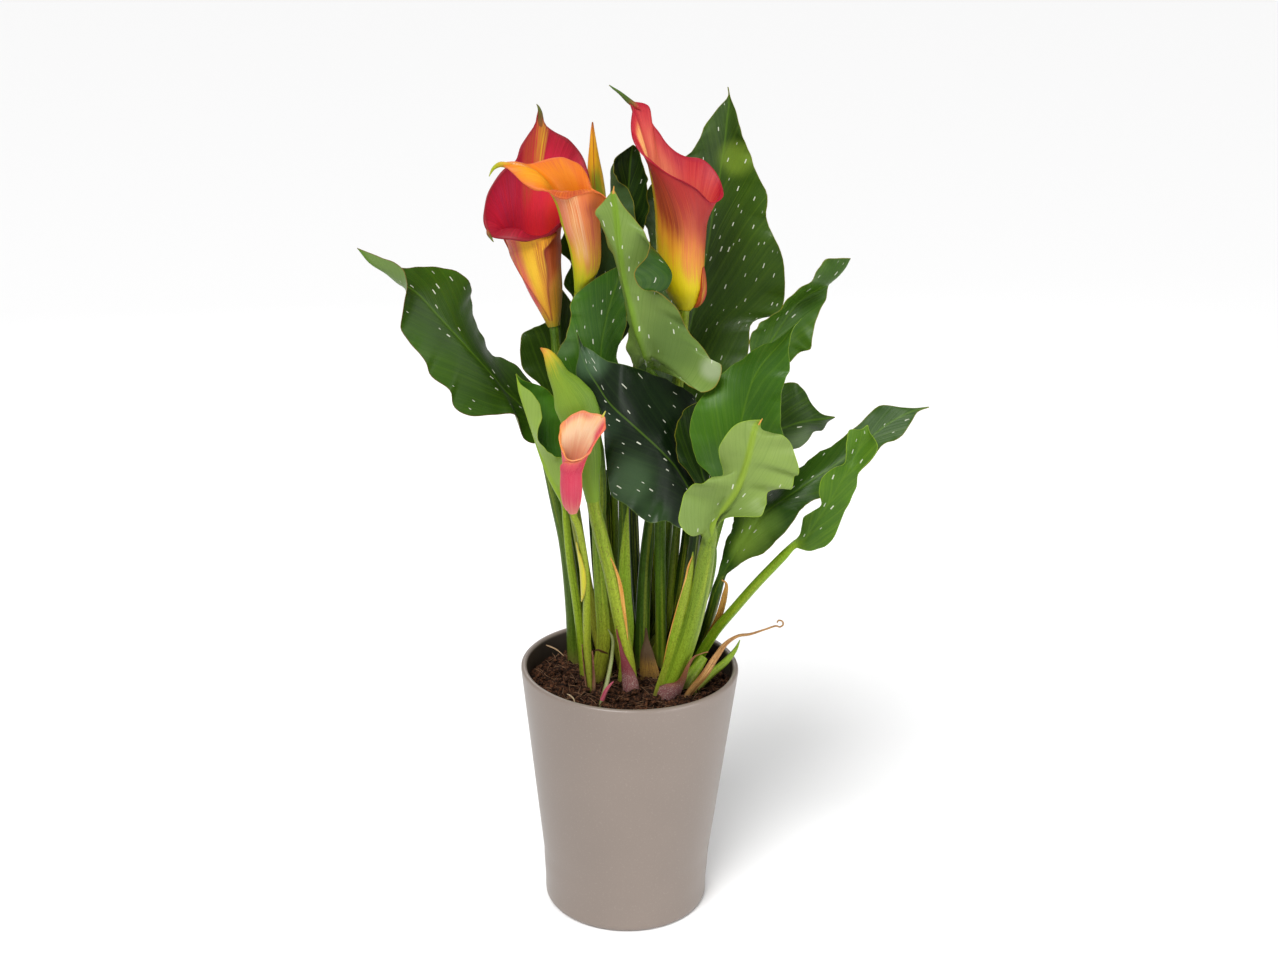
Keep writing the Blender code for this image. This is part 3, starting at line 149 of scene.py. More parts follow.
def sheetShell(rows, normals, half, **values):
    # thin closed sheet whose back takes the values of its front; its edge value is the way to the nearer side
    sides = 2 * rows.shape[1]
    values["edge"] = np.minimum(distanceFromStart(rows), distanceFromStart(rows[:, ::-1])[:, ::-1])
    return {"vertices": bothSides(rows + normals * half, rows - normals * half),
            "faces": ringFaces(len(rows), sides) + zipFaces(0, sides) + zipFaces((len(rows) - 1) * sides, sides),
            "values": {key: bothSides(value, value) for key, value in values.items()}}


def meshPiece(name, parts, material, sharp=50):
    # one object from several closed shells, each with its vertices, faces and values per vertex
    vertices, faces, values, start = [], [], {}, 0
    for part in parts:
        points = np.asarray(part["vertices"], float).reshape(-1, 3)
        vertices.append(points)
        faces += [[int(i) + start for i in face] for face in part["faces"]]
        for key, value in part["values"].items():
            value = np.full(len(points), float(value)) if np.isscalar(value) else np.asarray(value, float)
            values.setdefault(key, []).append(value.reshape(len(points), -1))
        start += len(points)
    mesh = bpy.data.meshes.new(name)
    mesh.from_pydata(np.concatenate(vertices).tolist(), [], faces)
    for key, value in values.items():
        value = np.concatenate(value)
        kind, field = ('FLOAT_VECTOR', 'vector') if value.shape[1] == 3 else ('FLOAT', 'value')
        mesh.attributes.new(key, kind, 'POINT').data.foreach_set(field, value.ravel())
    piece = bpy.data.objects.new(name, mesh)
    bpy.context.collection.objects.link(piece)
    turn = bmesh.new()
    turn.from_mesh(mesh)
    bmesh.ops.recalc_face_normals(turn, faces=turn.faces)
    turn.to_mesh(mesh)
    turn.free()
    mesh.shade_smooth()
    mesh.set_sharp_from_angle(angle=math.radians(sharp))
    mesh.materials.append(material)
    return piece


def settle(piece, slot, *nodes):
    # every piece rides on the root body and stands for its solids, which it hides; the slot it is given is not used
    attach(piece, "root")
    if nodes:
        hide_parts(*nodes)
    print("made", piece.name, len(piece.data.polygons), "faces")
    return piece


def paint(red, green, blue, dim=0.70):
    # a colour as it looks in the lit studio, from 0 to 255, turned into the shader's own
    return tuple(dim * (((c / 255 + 0.055) / 1.055) ** 2.4 if c > 10 else c / 255 / 12.92)
                 for c in (red, green, blue)) + (1.0,)


def inShader(operation, swapped=False):
    # what a sign of plain sums does between values of a material
    def work(self, *other):
        return self.finish.calc(operation, *((other + (self,)) if swapped else ((self,) + other)))
    return work


class Value:
    # a number or vector inside a material, which plain sums can use
    __add__ = __radd__ = inShader('ADD')
    __mul__ = __rmul__ = inShader('MULTIPLY')
    __sub__, __rsub__ = inShader('SUBTRACT'), inShader('SUBTRACT', swapped=True)
    __truediv__, __pow__ = inShader('DIVIDE'), inShader('POWER')
    __lt__, __abs__ = inShader('LESS_THAN'), inShader('ABSOLUTE')

    def __init__(self, finish, socket):
        self.finish, self.socket = finish, socket


class Finish:
    # short calls for building one node material
    def __init__(self, name, roughness=0.5, gloss=None, dim=0.70):
        self.material = bpy.data.materials.new(name)
        self.material.use_nodes = True
        self.tree, self.dim = self.material.node_tree, dim
        self.shader = self.tree.nodes["Principled BSDF"]
        self.put("Roughness", roughness)
        if gloss is not None:
            self.put("Specular IOR Level", gloss)
        self.at = self.build('ShaderNodeTexCoord', "Object")

    def feed(self, socket, value):
        if isinstance(value, Value):
            self.tree.links.new(value.socket, socket)
        else:
            socket.default_value = value

    def put(self, name, value):
        self.feed(self.shader.inputs[name], value)

    def build(self, kind, output, inputs=(), **settings):
        # one node, its settings, its inputs by name or number, and the output that is wanted
        made = self.tree.nodes.new(kind)
        for key, value in settings.items():
            setattr(made, key, value)
        for key, value in dict(inputs).items():
            self.feed(made.inputs[key], value)
        return made if output is None else Value(self, made.outputs[output])

    def calc(self, operation, *values):
        return self.build('ShaderNodeMath', 0, enumerate(values), operation=operation)

    def step(self, value, low, high):
        # 0 at low, 1 at high, smooth between them
        return self.build('ShaderNodeMapRange', 0, enumerate((value, low, high, 0.0, 1.0)),
                          interpolation_type='SMOOTHSTEP')

    def mix(self, share, first, second, blend='MIX'):
        return self.build('ShaderNodeMix', 2, {0: share, 6: first, 7: second}, data_type='RGBA', blend_type=blend)

    def paint(self, colour):
        return paint(*colour, dim=self.dim)

    def coat(self, tone, colour, share):
        return self.mix(share, tone, self.paint(colour))

    def ramp(self, value, stops):
        made = self.build('ShaderNodeValToRGB', None, {0: value})
        marks = made.color_ramp.elements
        while len(marks) < len(stops):
            marks.new(0.5)
        for mark, (place, colour) in zip(marks, stops):
            mark.position = place
        for mark, (place, colour) in zip(marks, stops):
            mark.color = self.paint(colour)
        return Value(self, made.outputs[0])

    def read(self, name, output="Fac"):
        return self.build('ShaderNodeAttribute', output, attribute_name=name)

    def split(self, vector):
        made = self.build('ShaderNodeSeparateXYZ', None, {0: vector})
        return [Value(self, output) for output in made.outputs]

    def join(self, *values):
        return self.build('ShaderNodeCombineXYZ', 0, enumerate(values))

    def stretch(self, vector, *scale):
        return self.build('ShaderNodeMapping', 0, {"Vector": vector, "Scale": scale})

    def noise(self, vector, scale, detail=2.0, rough=0.5):
        return self.build('ShaderNodeTexNoise', 0,
                          {"Vector": vector, "Scale": scale, "Detail": detail, "Roughness": rough})

    def cells(self, vector, scale, dimensions='3D', distance='EUCLIDEAN'):
        made = self.build('ShaderNodeTexVoronoi', None, {"Vector": vector, "Scale": scale},
                          voronoi_dimensions=dimensions, distance=distance)
        return Value(self, made.outputs["Distance"]), Value(self, made.outputs["Color"])

    def relief(self, height, distance, strength=1.0):
        self.put("Normal", self.build('ShaderNodeBump', 0, {"Strength": strength, "Distance": distance,
                                                            "Height": height}))


studio = {
    "floorColour": (250, 250, 250), "floorSize": 60.0, "roomLight": 0.30, "aim": (0.0, 0.0, 0.28),
    "sun": {"from": (-0.38, -0.90, 1.15), "power": 3.2, "softness": 32},
    "fill": {"at": (1.20, -0.90, 0.55), "size": 0.9, "power": 11},
    "back": {"at": (-0.30, 1.10, 1.10), "size": 0.8, "power": 5},
}

bpy.ops.object.camera_add(location=photo["eye"])
camera = bpy.context.object
camera.name = "photoCamera"
camera.data.sensor_width = 36.0
camera.data.lens = photo["focal"] / photo["width"] * camera.data.sensor_width
camera.rotation_euler = (Matrix.Rotation(math.radians(90 - photo["lookDown"]), 4, 'X')
                         @ Matrix.Rotation(math.radians(photo["tilt"]), 4, 'Z')).to_euler()
bpy.context.scene.camera = camera

bpy.ops.mesh.primitive_plane_add(size=studio["floorSize"], location=(0, 0, -0.0002))
floor = bpy.context.object
floor.name = "floor"
floorFinish = Finish("paleFloor", 0.7)
floorFinish.put("Base Color", paint(*studio["floorColour"], dim=1.0))
floor.data.materials.append(floorFinish.material)

# the room is white to look at, and its light on the plant is dimmer than the lamps
world = bpy.data.worlds.new("softRoom")
world.use_nodes = True
room = world.node_tree
looked = room.nodes.new('ShaderNodeLightPath')
strength = room.nodes.new('ShaderNodeMapRange')
strength.inputs["To Min"].default_value = studio["roomLight"]
strength.inputs["To Max"].default_value = 1.0
room.links.new(looked.outputs["Is Camera Ray"], strength.inputs["Value"])
room.links.new(strength.outputs[0], room.nodes["Background"].inputs["Strength"])
room.nodes["Background"].inputs["Color"].default_value = (1, 1, 1, 1)
bpy.context.scene.world = world
bpy.ops.object.light_add(type='SUN', location=(-1, -1, 2))
sun = bpy.context.object
sun.name = "softSun"
sun.data.energy = studio["sun"]["power"]
sun.data.angle = math.radians(studio["sun"]["softness"])
sun.rotation_euler = Vector(studio["sun"]["from"]).to_track_quat('Z', 'Y').to_euler()
for lampName in ("fill", "back"):
    lamp = studio[lampName]
    bpy.ops.object.light_add(type='AREA', location=lamp["at"])
    light = bpy.context.object
    light.name = lampName + "Light"
    light.data.size, light.data.energy = lamp["size"], lamp["power"]
    light.rotation_euler = (Vector(studio["aim"]) - Vector(lamp["at"])).to_track_quat('-Z', 'Y').to_euler()
bpy.context.scene.view_settings.view_transform = 'Standard'
print("camera, floor and light ready")


pot = {
    "height": 0.1665, "rimRadius": 0.0700, "wall": 0.0037, "floor": 0.0060, "kneeHeight": 0.0260,
    "kneeRadius": 0.0549, "footRadius": 0.0537, "sides": 160,
    "glaze": (148, 134, 124), "insideGlaze": (50, 44, 36), "speck": (205, 196, 186), "cloudiness": 0.07,
    "roughness": 0.34,
}


def makePot():
    height, rim, wall, foot, knee = (pot[key] for key in ("height", "rimRadius", "wall", "footRadius", "kneeRadius"))
    innerFoot, innerTop = knee - wall - 0.002, height - 0.003
    profile = [(foot - 0.0045, 0.0), (foot - 0.0024, 0.0002), (foot - 0.0009, 0.0010), (foot - 0.0002, 0.0024),
               (foot, 0.0045)]
    profile += [(foot + (knee - foot) * (0.5 - 0.5 * math.cos(math.pi * t)), 0.008 + 0.026 * t)
                for t in (0.0, 0.2, 0.4, 0.6, 0.8, 1.0)]
    kneeEnd, lowest, highest = *profile[-1], height - 0.0026
    profile += [(kneeEnd + (rim - kneeEnd) * t, lowest + (highest - lowest) * t)
                for t in (0.03, 0.1, 0.25, 0.5, 0.75, 0.9, 1.0)]
    profile += [(rim - wall / 2 + wall / 2 * math.cos(a), height - 0.0018 + 0.0018 * math.sin(a))
                for a in (math.radians(d) for d in (15, 35, 55, 75, 90, 110, 130, 150, 170))]
    profile += [(rim - wall, innerTop)]
    profile += [(innerFoot + (rim - wall - innerFoot) * t, pot["kneeHeight"] + (innerTop - pot["kneeHeight"]) * t)
                for t in (0.75, 0.5, 0.25, 0.0)]
    profile += [(innerFoot - 0.002, pot["floor"] + 0.003), (innerFoot - 0.005, pot["floor"])]
    bpy.ops.mesh.primitive_circle_add(vertices=pot["sides"], radius=profile[0][0], fill_type='NGON')
    piece = bpy.context.object
    piece.name = "glazedPot"
    bpy.ops.object.mode_set(mode='EDIT')
    bpy.ops.mesh.select_mode(type='VERT')
    bpy.ops.mesh.select_all(action='SELECT')
    bpy.ops.mesh.extrude_edges_move()
    for k, ((radius, up), (nextRadius, nextUp)) in enumerate(zip(profile, profile[1:])):
        # the first ring is made already, and each later one is extruded from the open ring before it
        if k:
            bpy.ops.mesh.extrude_region_move(TRANSFORM_OT_translate={"value": (0, 0, nextUp - up)})
        bpy.ops.transform.resize(value=(nextRadius / radius, nextRadius / radius, 1))
        if not k:
            bpy.ops.transform.translate(value=(0, 0, nextUp))
    bpy.ops.mesh.edge_face_add()
    bpy.ops.mesh.select_all(action='SELECT')
    bpy.ops.mesh.normals_make_consistent(inside=False)
    bpy.ops.object.mode_set(mode='OBJECT')
    bpy.ops.object.shade_smooth_by_angle(angle=math.radians(40))
    piece.data.materials.clear()
    piece.data.materials.append(potFinish())
    return settle(piece, "pot", "pot")


def potFinish():
    # satin glaze: slight clouding, fine speckle, and a darker inside that is painted shade
    finish = Finish("taupeGlaze", pot["roughness"])
    x, y, z = finish.split(finish.at)
    lean = (pot["rimRadius"] - pot["kneeRadius"]) / (pot["height"] - pot["kneeHeight"])
    outer = pot["kneeRadius"] - 0.0015 + (z - pot["kneeHeight"]) * lean
    inside = finish.step(outer - finish.calc('SQRT', x * x + y * y), 0.0012, 0.0022)
    inside = inside * finish.step(z, pot["height"] - 0.0008, pot["height"] - 0.003)
    cloud, speck = finish.noise(finish.at, 18.0, 3.0), finish.noise(finish.at, 900.0, 2.0)
    glaze = finish.paint(pot["glaze"])[:3]
    dark, light = (tuple(c * (1 + way * pot["cloudiness"]) for c in glaze) + (1,) for way in (-1, 1))
    tone = finish.mix(cloud, dark, light)
    tone = finish.coat(tone, pot["speck"], finish.step(speck, 0.58, 0.72) * 0.10)
    # the inside of the pot below the rim takes a dark colour: painted shade
    finish.put("Base Color", finish.coat(tone, pot["insideGlaze"], inside))
    finish.put("Roughness", pot["roughness"] - 0.03 + cloud * 0.08)
    finish.relief(finish.noise(finish.at, 260.0, 2.0), 0.00004, 0.5)
    return finish.material


makePot()


soil = {
    "height": 0.1530, "lump": 0.0016, "crown": 0.0012, "radius": 0.0655, "fineness": 170, "depth": 0.020,
    "crumbs": 1500, "fibres": 420, "seed": 5,
    "dark": (30, 18, 12), "brown": (94, 60, 40), "pale": (150, 108, 74),
    "fibreDark": (58, 38, 26), "fibrePale": (160, 118, 82),
    "lumps": [("clods", 0.011, 0.0042), ("crumb", 0.0040, 0.0030), ("grain", 0.0016, 0.0012)],
}


def soilTop(x, y):
    # height of the uneven soil
    wave = math.sin(x * 210 + 1.0) * math.sin(y * 190 + 0.4) + 0.6 * math.sin(x * 330 - y * 270)
    return soil["height"] + soil["lump"] * wave + soil["crown"] * (1 - (x * x + y * y) / 0.0041)


def peatFinish(name, bright=1.0):
    finish = Finish(name, 0.92, 0.12)
    dark, brown = ([c * bright for c in soil[key]] for key in ("dark", "brown"))
    tone = finish.coat(finish.paint(dark), brown, finish.step(finish.noise(finish.at, 420.0, 4.0, 0.65), 0.42, 0.66))
    tone = finish.coat(tone, soil["pale"], finish.step(finish.noise(finish.at, 1500.0, 2.0), 0.62, 0.74) * 0.6)
    finish.put("Base Color", tone)
    finish.relief(finish.noise(finish.at, 1400.0, 4.0, 0.7), 0.0006, 0.9)
    return finish.material


def makeSoil():
    bpy.ops.mesh.primitive_grid_add(x_subdivisions=soil["fineness"], y_subdivisions=soil["fineness"],
                                    size=2 * soil["radius"] + 0.002, location=(0, 0, soil["height"]))
    bed = bpy.context.object
    bed.name = "peatBed"
    bpy.ops.object.transform_apply(location=True, rotation=False, scale=False)
    bpy.ops.object.mode_set(mode='EDIT')
    bpy.ops.mesh.select_all(action='DESELECT')
    shape = bmesh.from_edit_mesh(bed.data)
    for vertex in shape.verts:
        vertex.select_set(math.hypot(vertex.co.x, vertex.co.y) > soil["radius"])
    shape.select_flush(True)
    bmesh.update_edit_mesh(bed.data)
    bpy.ops.mesh.delete(type='VERT')
    bpy.ops.mesh.select_all(action='SELECT')
    bpy.ops.mesh.extrude_region_move(TRANSFORM_OT_translate={"value": (0, 0, -soil["depth"])})
    bpy.ops.mesh.select_all(action='SELECT')
    bpy.ops.mesh.normals_make_consistent(inside=False)
    bpy.ops.object.mode_set(mode='OBJECT')
    top = bed.vertex_groups.new(name="top")
    for vertex in bed.data.vertices:
        if vertex.co.z > soil["height"] - soil["depth"] / 2:
            vertex.co.z = soilTop(vertex.co.x, vertex.co.y)
            top.add([vertex.index], 1.0, 'REPLACE')
    for label, size, strength in soil["lumps"]:
        texture = bpy.data.textures.new(label, 'CLOUDS')
        texture.noise_scale, texture.noise_depth = size, 2
        lumps = bed.modifiers.new(label, 'DISPLACE')
        lumps.texture, lumps.strength, lumps.mid_level = texture, strength, 0.5
        lumps.direction, lumps.vertex_group = 'Z', "top"
        bpy.ops.object.modifier_apply(modifier=label)
    bpy.ops.object.shade_smooth_by_angle(angle=math.radians(60))
    bed.data.materials.append(peatFinish("peat"))
    return settle(bed, "soil", "soil")


def scatter(name, source, places, material, slot):
    # one object of many copies of a small shape, each with its own turn, size and place
    base = np.array([v.co[:] for v in source.data.vertices])
    faces = [list(p.vertices) for p in source.data.polygons]
    vertices, allFaces = [], []
    for turn, size, place in places:
        allFaces += [[i + len(vertices) for i in face] for face in faces]
        vertices += ((base * size) @ np.array(turn.to_matrix()).T + place).tolist()
    mesh = bpy.data.meshes.new(name)
    mesh.from_pydata(vertices, [], allFaces)
    mesh.materials.append(material)
    piece = bpy.data.objects.new(name, mesh)
    bpy.context.collection.objects.link(piece)
    bpy.data.objects.remove(source)
    return settle(piece, slot)


def soilSpot(dice, margin):
    # a chance place on the soil, this far inside the pot's wall
    share = (soil["height"] - pot["kneeHeight"]) / (pot["height"] - pot["kneeHeight"])
    wall = pot["kneeRadius"] - pot["wall"] - 0.002 + (pot["rimRadius"] - pot["kneeRadius"] + 0.002) * share
    reach = (wall - margin) * math.sqrt(dice.random())
    angle = dice.uniform(0, 2 * math.pi)
    return reach * math.cos(angle), reach * math.sin(angle)


def makeCrumbs():
    dice = random.Random(soil["seed"])
    bpy.ops.mesh.primitive_ico_sphere_add(subdivisions=1, radius=1.0)
    crumb = bpy.context.object
    for vertex in crumb.data.vertices:
        vertex.co *= dice.uniform(0.65, 1.2)
    places = []
    for k in range(soil["crumbs"]):
        size = 0.0006 + 0.0019 * dice.random() ** 2.4
        x, y = soilSpot(dice, size * 1.3)
        turn = Vector([dice.random() - 0.5 for axis in range(3)]).to_track_quat('Z', 'Y')
        flat = np.array([dice.uniform(0.7, 1.5), dice.uniform(0.7, 1.3), dice.uniform(0.5, 1.0)])
        places.append((turn, flat * size, np.array([x, y, soilTop(x, y) + 0.0010 + size * dice.uniform(-0.2, 0.8)])))
    scatter("peatCrumbs", crumb, places, peatFinish("crumblyPeat", 1.15), "soil")
    bpy.ops.mesh.primitive_cylinder_add(vertices=4, radius=1.0, depth=1.0, end_fill_type='TRIFAN')
    fibre = bpy.context.object
    bpy.ops.object.mode_set(mode='EDIT')
    for height in (0.17, -0.17):
        bpy.ops.mesh.select_all(action='SELECT')
        bpy.ops.mesh.bisect(plane_co=(0, 0, height), plane_no=(0, 0, 1))
    bpy.ops.object.mode_set(mode='OBJECT')
    for vertex in fibre.data.vertices:
        bend = vertex.co.z * 2
        thin = 1 - 0.6 * abs(bend)
        vertex.co.x = vertex.co.x * thin + 2.2 * bend * bend
        vertex.co.y *= thin
    places = []
    for k in range(soil["fibres"]):
        long = dice.uniform(0.003, 0.010)
        x, y = soilSpot(dice, long / 2 + 0.001)
        turn = Vector((dice.uniform(-1, 1), dice.uniform(-1, 1), dice.uniform(-0.25, 0.35))).to_track_quat('Z', 'Y')
        wide = dice.uniform(0.00012, 0.00028)
        places.append((turn, np.array([wide, wide, long]), np.array([x, y, soilTop(x, y) + 0.0022])))
    finish = Finish("peatFibre", 0.85)
    finish.put("Base Color", finish.coat(finish.paint(soil["fibreDark"]), soil["fibrePale"],
                                         finish.noise(finish.at, 90.0, 1.0)))
    finish.relief(finish.noise(finish.at, 2500.0, 2.0), 0.0002, 0.6)
    scatter("peatFibres", fibre, places, finish.material, "soil")


makeSoil()
makeCrumbs()
print("pot and soil ready")


# What all leaves share, in metres. A leaf's own dictionary can hold other looks.
leafMake = {
    "rowsPerStation": 5, "columnsPerSide": 15, "thickness": 0.00056, "waveHeight": 0.0012, "waveLength": 0.021,
    "stalkRows": 26, "rootDepth": 0.030,
}
leafLooks = {
    "deep": (44, 74, 14), "mid": (66, 104, 20), "vein": (104, 140, 33), "rib": (92, 130, 26),
    "under": (116, 144, 74), "underVein": (92, 124, 50), "margin": (150, 140, 30), "stain": (110, 84, 56),
    "stalkTop": (88, 118, 32), "stalkFoot": (136, 152, 44), "flecks": 0.45, "veinSpace": 0.0062, "veinStrength": 0.26,
    "roughness": 0.36, "gloss": 0.16, "relief": 0.5, "fleckColour": (226, 230, 208), "sheenAndPalePatches": [],
    "bands": 0.75, "bandLight": (186, 200, 60),
}


def rooted(points, ground, depth=leafMake["rootDepth"], narrow=0.9):
    # points in metres, led on to a place on the soil in millimetres and down into it
    foot = np.array([ground[0] / 1000, ground[1] / 1000, soil["height"]])
    return np.concatenate([points, [foot, foot * [narrow, narrow, 1] - [0, 0, depth]]])


def makeLeaf(name, plan):
    # blade and stalk as one closed shell, with a channel over the rib and a keel under it
    make, looks = dict(leafMake, **plan.get("make", {})), dict(leafLooks, **plan["looks"])
    side = make["columnsPerSide"]
    k = np.linspace(-1, 1, 2 * side + 1)
    places = np.sign(k) * (0.72 * np.abs(k) ** 1.7 + 0.28 * np.abs(k))
    # stations from the left margin over the rib to the right margin, then the tip
    stations = [smoothLine(seen(station), (places + 1) / 2 * (len(station) - 1)) for station in plan["net"][:-1]]
    across = unit(stations[-1][-1] - stations[-1][0])
    stations.append(seen(plan["net"][-1]) + across * places[:, None] * 0.0004)
    rows = curve(np.array(stations), (len(stations) - 1) * make["rowsPerStation"] + 1)
    high, wide = rows.shape[:2]
    normals = sheetNormals(rows)
    rib = rows[:, side]
    along = distanceAlong(rib)
    length = along[-1]
    across = np.concatenate([-distanceFromStart(rows[:, side::-1])[:, :0:-1], distanceFromStart(rows[:, side:])], 1)
    half = np.where(across < 0, -across[:, :1], across[:, -1:])
    dice = random.Random(name)
    lift = make["waveHeight"] * np.abs(places) ** 3.5 * np.minimum(1, half / 0.02)
    phase = np.where(places < 0, dice.uniform(0, 6), dice.uniform(0, 6))
    wave = np.sin(along[:, None] / make["waveLength"] * 2 * math.pi + phase)
    wave += 0.5 * np.sin(along[:, None] / make["waveLength"] * 4.6 * math.pi + 2 * phase)
    fade = np.clip(along / 0.02, 0, 1)[:, None] * np.clip((length - along) / 0.02, 0, 1)[:, None]
    rows = rows + normals * (lift * wave * fade)[..., None]
    footRadius, topRadius = (r / 1000 for r in plan["radius"])
    t = (along / length)[:, None]
    keel = topRadius * (1 - t) ** 1.3 + 0.0003 * (1 - t)
    thin = make["thickness"] / 2 * (1 - 0.5 * np.abs(places) ** 8) * np.clip((1.02 - t) * 12, 0.5, 1)
    channel = 0.20 * keel * np.exp(-(across / (0.7 * keel + 1e-5)) ** 2)
    under = np.sqrt(np.maximum(0, keel ** 2 - across ** 2)) * 0.9
    blade = bothSides(rows + normals * (thin - channel)[..., None], rows - normals * (thin + under)[..., None])
    sides = 2 * wide

    path = curve(rooted(seen(plan["stalk"]), plan["ground"]), make["stalkRows"])
    first, up = sideways(path, unit(rows[0, -1] - rows[0, 0]))
    down = distanceAlong(path)
    radius = (topRadius + (footRadius - topRadius) * (down / down[-1]) ** 0.7)[:, None]
    angle = math.pi - math.pi * (np.arange(sides) + 0.5) / wide
    ring = np.stack([np.cos(angle), np.sin(angle)], -1)
    stalk = path[:, None] + (first[:, None] * ring[:, :1] + up[:, None] * ring[:, 1:]) * radius[..., None]
    stalk = stalk[::-1]
    join = smoothLine(np.stack([stalk[-3], stalk[-1], blade[0], blade[3]]), np.array([1.2, 1.4, 1.6, 1.8]))
    rings = np.concatenate([stalk, join, blade])
    before = (len(rings) - high, sides)

    gap = np.linalg.norm(path[0] - rib[0])
    stalkFlow = np.stack([radius[::-1] * ring[:, 0], radius[::-1] * ring[:, 1],
                          np.repeat(-(down[::-1] + gap)[:, None], sides, 1)], -1)
    across = bothSides(across, across)
    bladeFlow = np.stack([across, 0 * across, 0 * across + along[:, None]], -1)
    joinFlow = np.stack([stalkFlow[-1] * (1 - s) + bladeFlow[0] * s for s in (0.2, 0.4, 0.6, 0.8)])
    edge = np.minimum(bothSides(half, half) - np.abs(across), (length - along)[:, None] * 0.6)
    shell = {"vertices": rings,
             "faces": ringFaces(len(rings), sides) + [list(range(sides))] + zipFaces((len(rings) - 1) * sides, sides),
             "values": {"flow": np.concatenate([stalkFlow, joinFlow, bladeFlow]),
                        "edge": np.concatenate([np.full(before, 0.01), edge]),
                        "under": np.concatenate([np.full(before, 0.5), bothSides(0 * half, 0 * half + 1)])}}
    piece = meshPiece(name, [shell], leafFinish(name + "Skin", looks))
    return settle(piece, plan.get("slot", "leaf"), plan["node"])


def mottle(finish, flow, tone, looks):
    # long dark and light bands and a fine grain, as on every stem
    bands = finish.noise(finish.stretch(flow, 420.0, 420.0, 11.0), 1.0, 2.0)
    tone = finish.mix(finish.step(bands, 0.50, 0.72) * looks["bands"], tone, (0.44, 0.52, 0.34, 1.0), 'MULTIPLY')
    tone = finish.coat(tone, looks["bandLight"], finish.step(bands, 0.48, 0.28) * 0.45)
    grain = finish.noise(finish.stretch(finish.at, 1.0, 1.0, 0.5), 1200.0, 3.0, 0.7)
    return finish.mix(finish.step(grain, 0.42, 0.62) * 0.9, tone, (0.70, 0.68, 0.46, 1.0), 'MULTIPLY')


def leafFinish(name, looks):
    # veins run out from the rib and forward; flecks lie along them; the underside is paler
    finish = Finish(name, looks["roughness"], looks["gloss"])
    noise, step, coat, at = finish.noise, finish.step, finish.coat, finish.at
    flow = finish.read("flow", "Vector")
    across, around, along = finish.split(flow)
    under, edge = finish.read("under"), finish.read("edge")
    away, blade = abs(across), step(along, -0.004, 0.010)
    vein = along - away * 3.4 + away * away * 24.0 + (noise(at, 40.0, 2.0) - 0.5) * 0.0030

    # uneven lines: the spacing and the strength of the veins wander
    lines = vein / looks["veinSpace"] + noise(finish.join(vein * 110.0), 1.0, 1.0) * 2.4
    major = finish.calc('PINGPONG', lines, 0.5) * 2.0
    minor = finish.calc('PINGPONG', lines * 4.0, 0.5) * 2.0
    cloud = noise(at, 22.0, 3.0)
    grain = noise(finish.join(vein * 700.0, across * 45.0), 1.0, 2.0)
    folds = noise(finish.join(vein * 150.0, across * 22.0), 1.0, 2.0)
    upper = coat(finish.paint(looks["deep"]), looks["mid"],
                 step(cloud, 0.34, 0.66) * 0.5 + step(away, 0.004, 0.030) * 0.5)
    for mask in (step(folds, 0.45, 0.72) * 0.16, step(grain, 0.45, 0.75) * 0.12, step(minor, 0.30, 0.0) * 0.07,
                 step(major, 0.10, 0.0) * step(noise(at, 60.0, 1.0), 0.35, 0.65) * looks["veinStrength"]):
        upper = coat(upper, looks["vein"], mask)
    upper = coat(upper, looks["rib"], step(away, 0.0009, 0.0003) * 0.45)
    lower = finish.paint(looks["under"])
    for mask in (step(cloud, 0.3, 0.7) * 0.35, step(major, 0.20, 0.0) * 0.30, step(grain, 0.45, 0.8) * 0.3):
        lower = coat(lower, looks["underVein"], mask)
    lower = coat(lower, looks["rib"], step(away, 0.0030, 0.0008) * 0.75)
    skin = finish.mix(step(under, 0.4, 0.6), upper, lower)

    # soft patches of painted sheen and highlight, some also the leaf's own paler parts: photograph column, row and
    # toward, reach in millimetres, colour and share
    for spot, reach, colour, share in looks["sheenAndPalePatches"]:
        far = finish.build('ShaderNodeVectorMath', "Value", {0: at, 1: seen(spot)}, operation='DISTANCE')
        skin = coat(skin, colour, step(far + (cloud - 0.5) * 0.012, reach / 1000, reach / 4000) * share)

    # flecks: slanted cells, each with its own chance and size, and other ones on either side of the rib
    ragged = noise(at, 1100.0, 1.0) * 0.05
    cellPlace = finish.join(away * 200.0 - along * 36.0 + (across < 0.0) * 37.3 + ragged, along * 50.0 + ragged)
    distance, chance = finish.cells(cellPlace, 1.0, '2D', 'CHEBYCHEV')
    pick, size, other = finish.split(chance)
    fleck = step(distance - (0.016 + size * 0.048), 0.024, 0.004) * (pick < looks["flecks"])
    fleck = fleck * blade * step(edge, 0.001, 0.004)
    skin = coat(skin, looks["fleckColour"], fleck * 0.92)
    skin = coat(skin, looks["margin"], step(edge, 0.0006, 0.0001) * 0.6)

    streak = noise(finish.stretch(flow, 900.0, 900.0, 14.0), 1.0, 3.0)
    stalk = finish.ramp(along * -4.0, [(0.0, looks["stalkTop"]), (0.55, looks.get("stalkMiddle", looks["stalkTop"])),
                                       (1.0, looks["stalkFoot"])])
    stalk = coat(stalk, looks["vein"], step(streak, 0.35, 0.75) * 0.45)
    stalk = mottle(finish, flow, stalk, looks)
    stalk = coat(stalk, looks["stain"], step(finish.split(at)[2], soil["height"] + 0.016, soil["height"]) * 0.55)
    finish.put("Base Color", finish.mix(blade, stalk, skin))
    finish.put("Roughness", looks["roughness"] - 0.04 + cloud * 0.12)
    height = (major ** 0.5 * 0.15 + minor ** 0.6 * 0.07 + folds * 0.6) * blade
    finish.relief(height + noise(at, 160.0, 2.0) * 0.25 + streak * (0.5 - blade * 0.5), 0.0006, looks["relief"])
    return finish.material


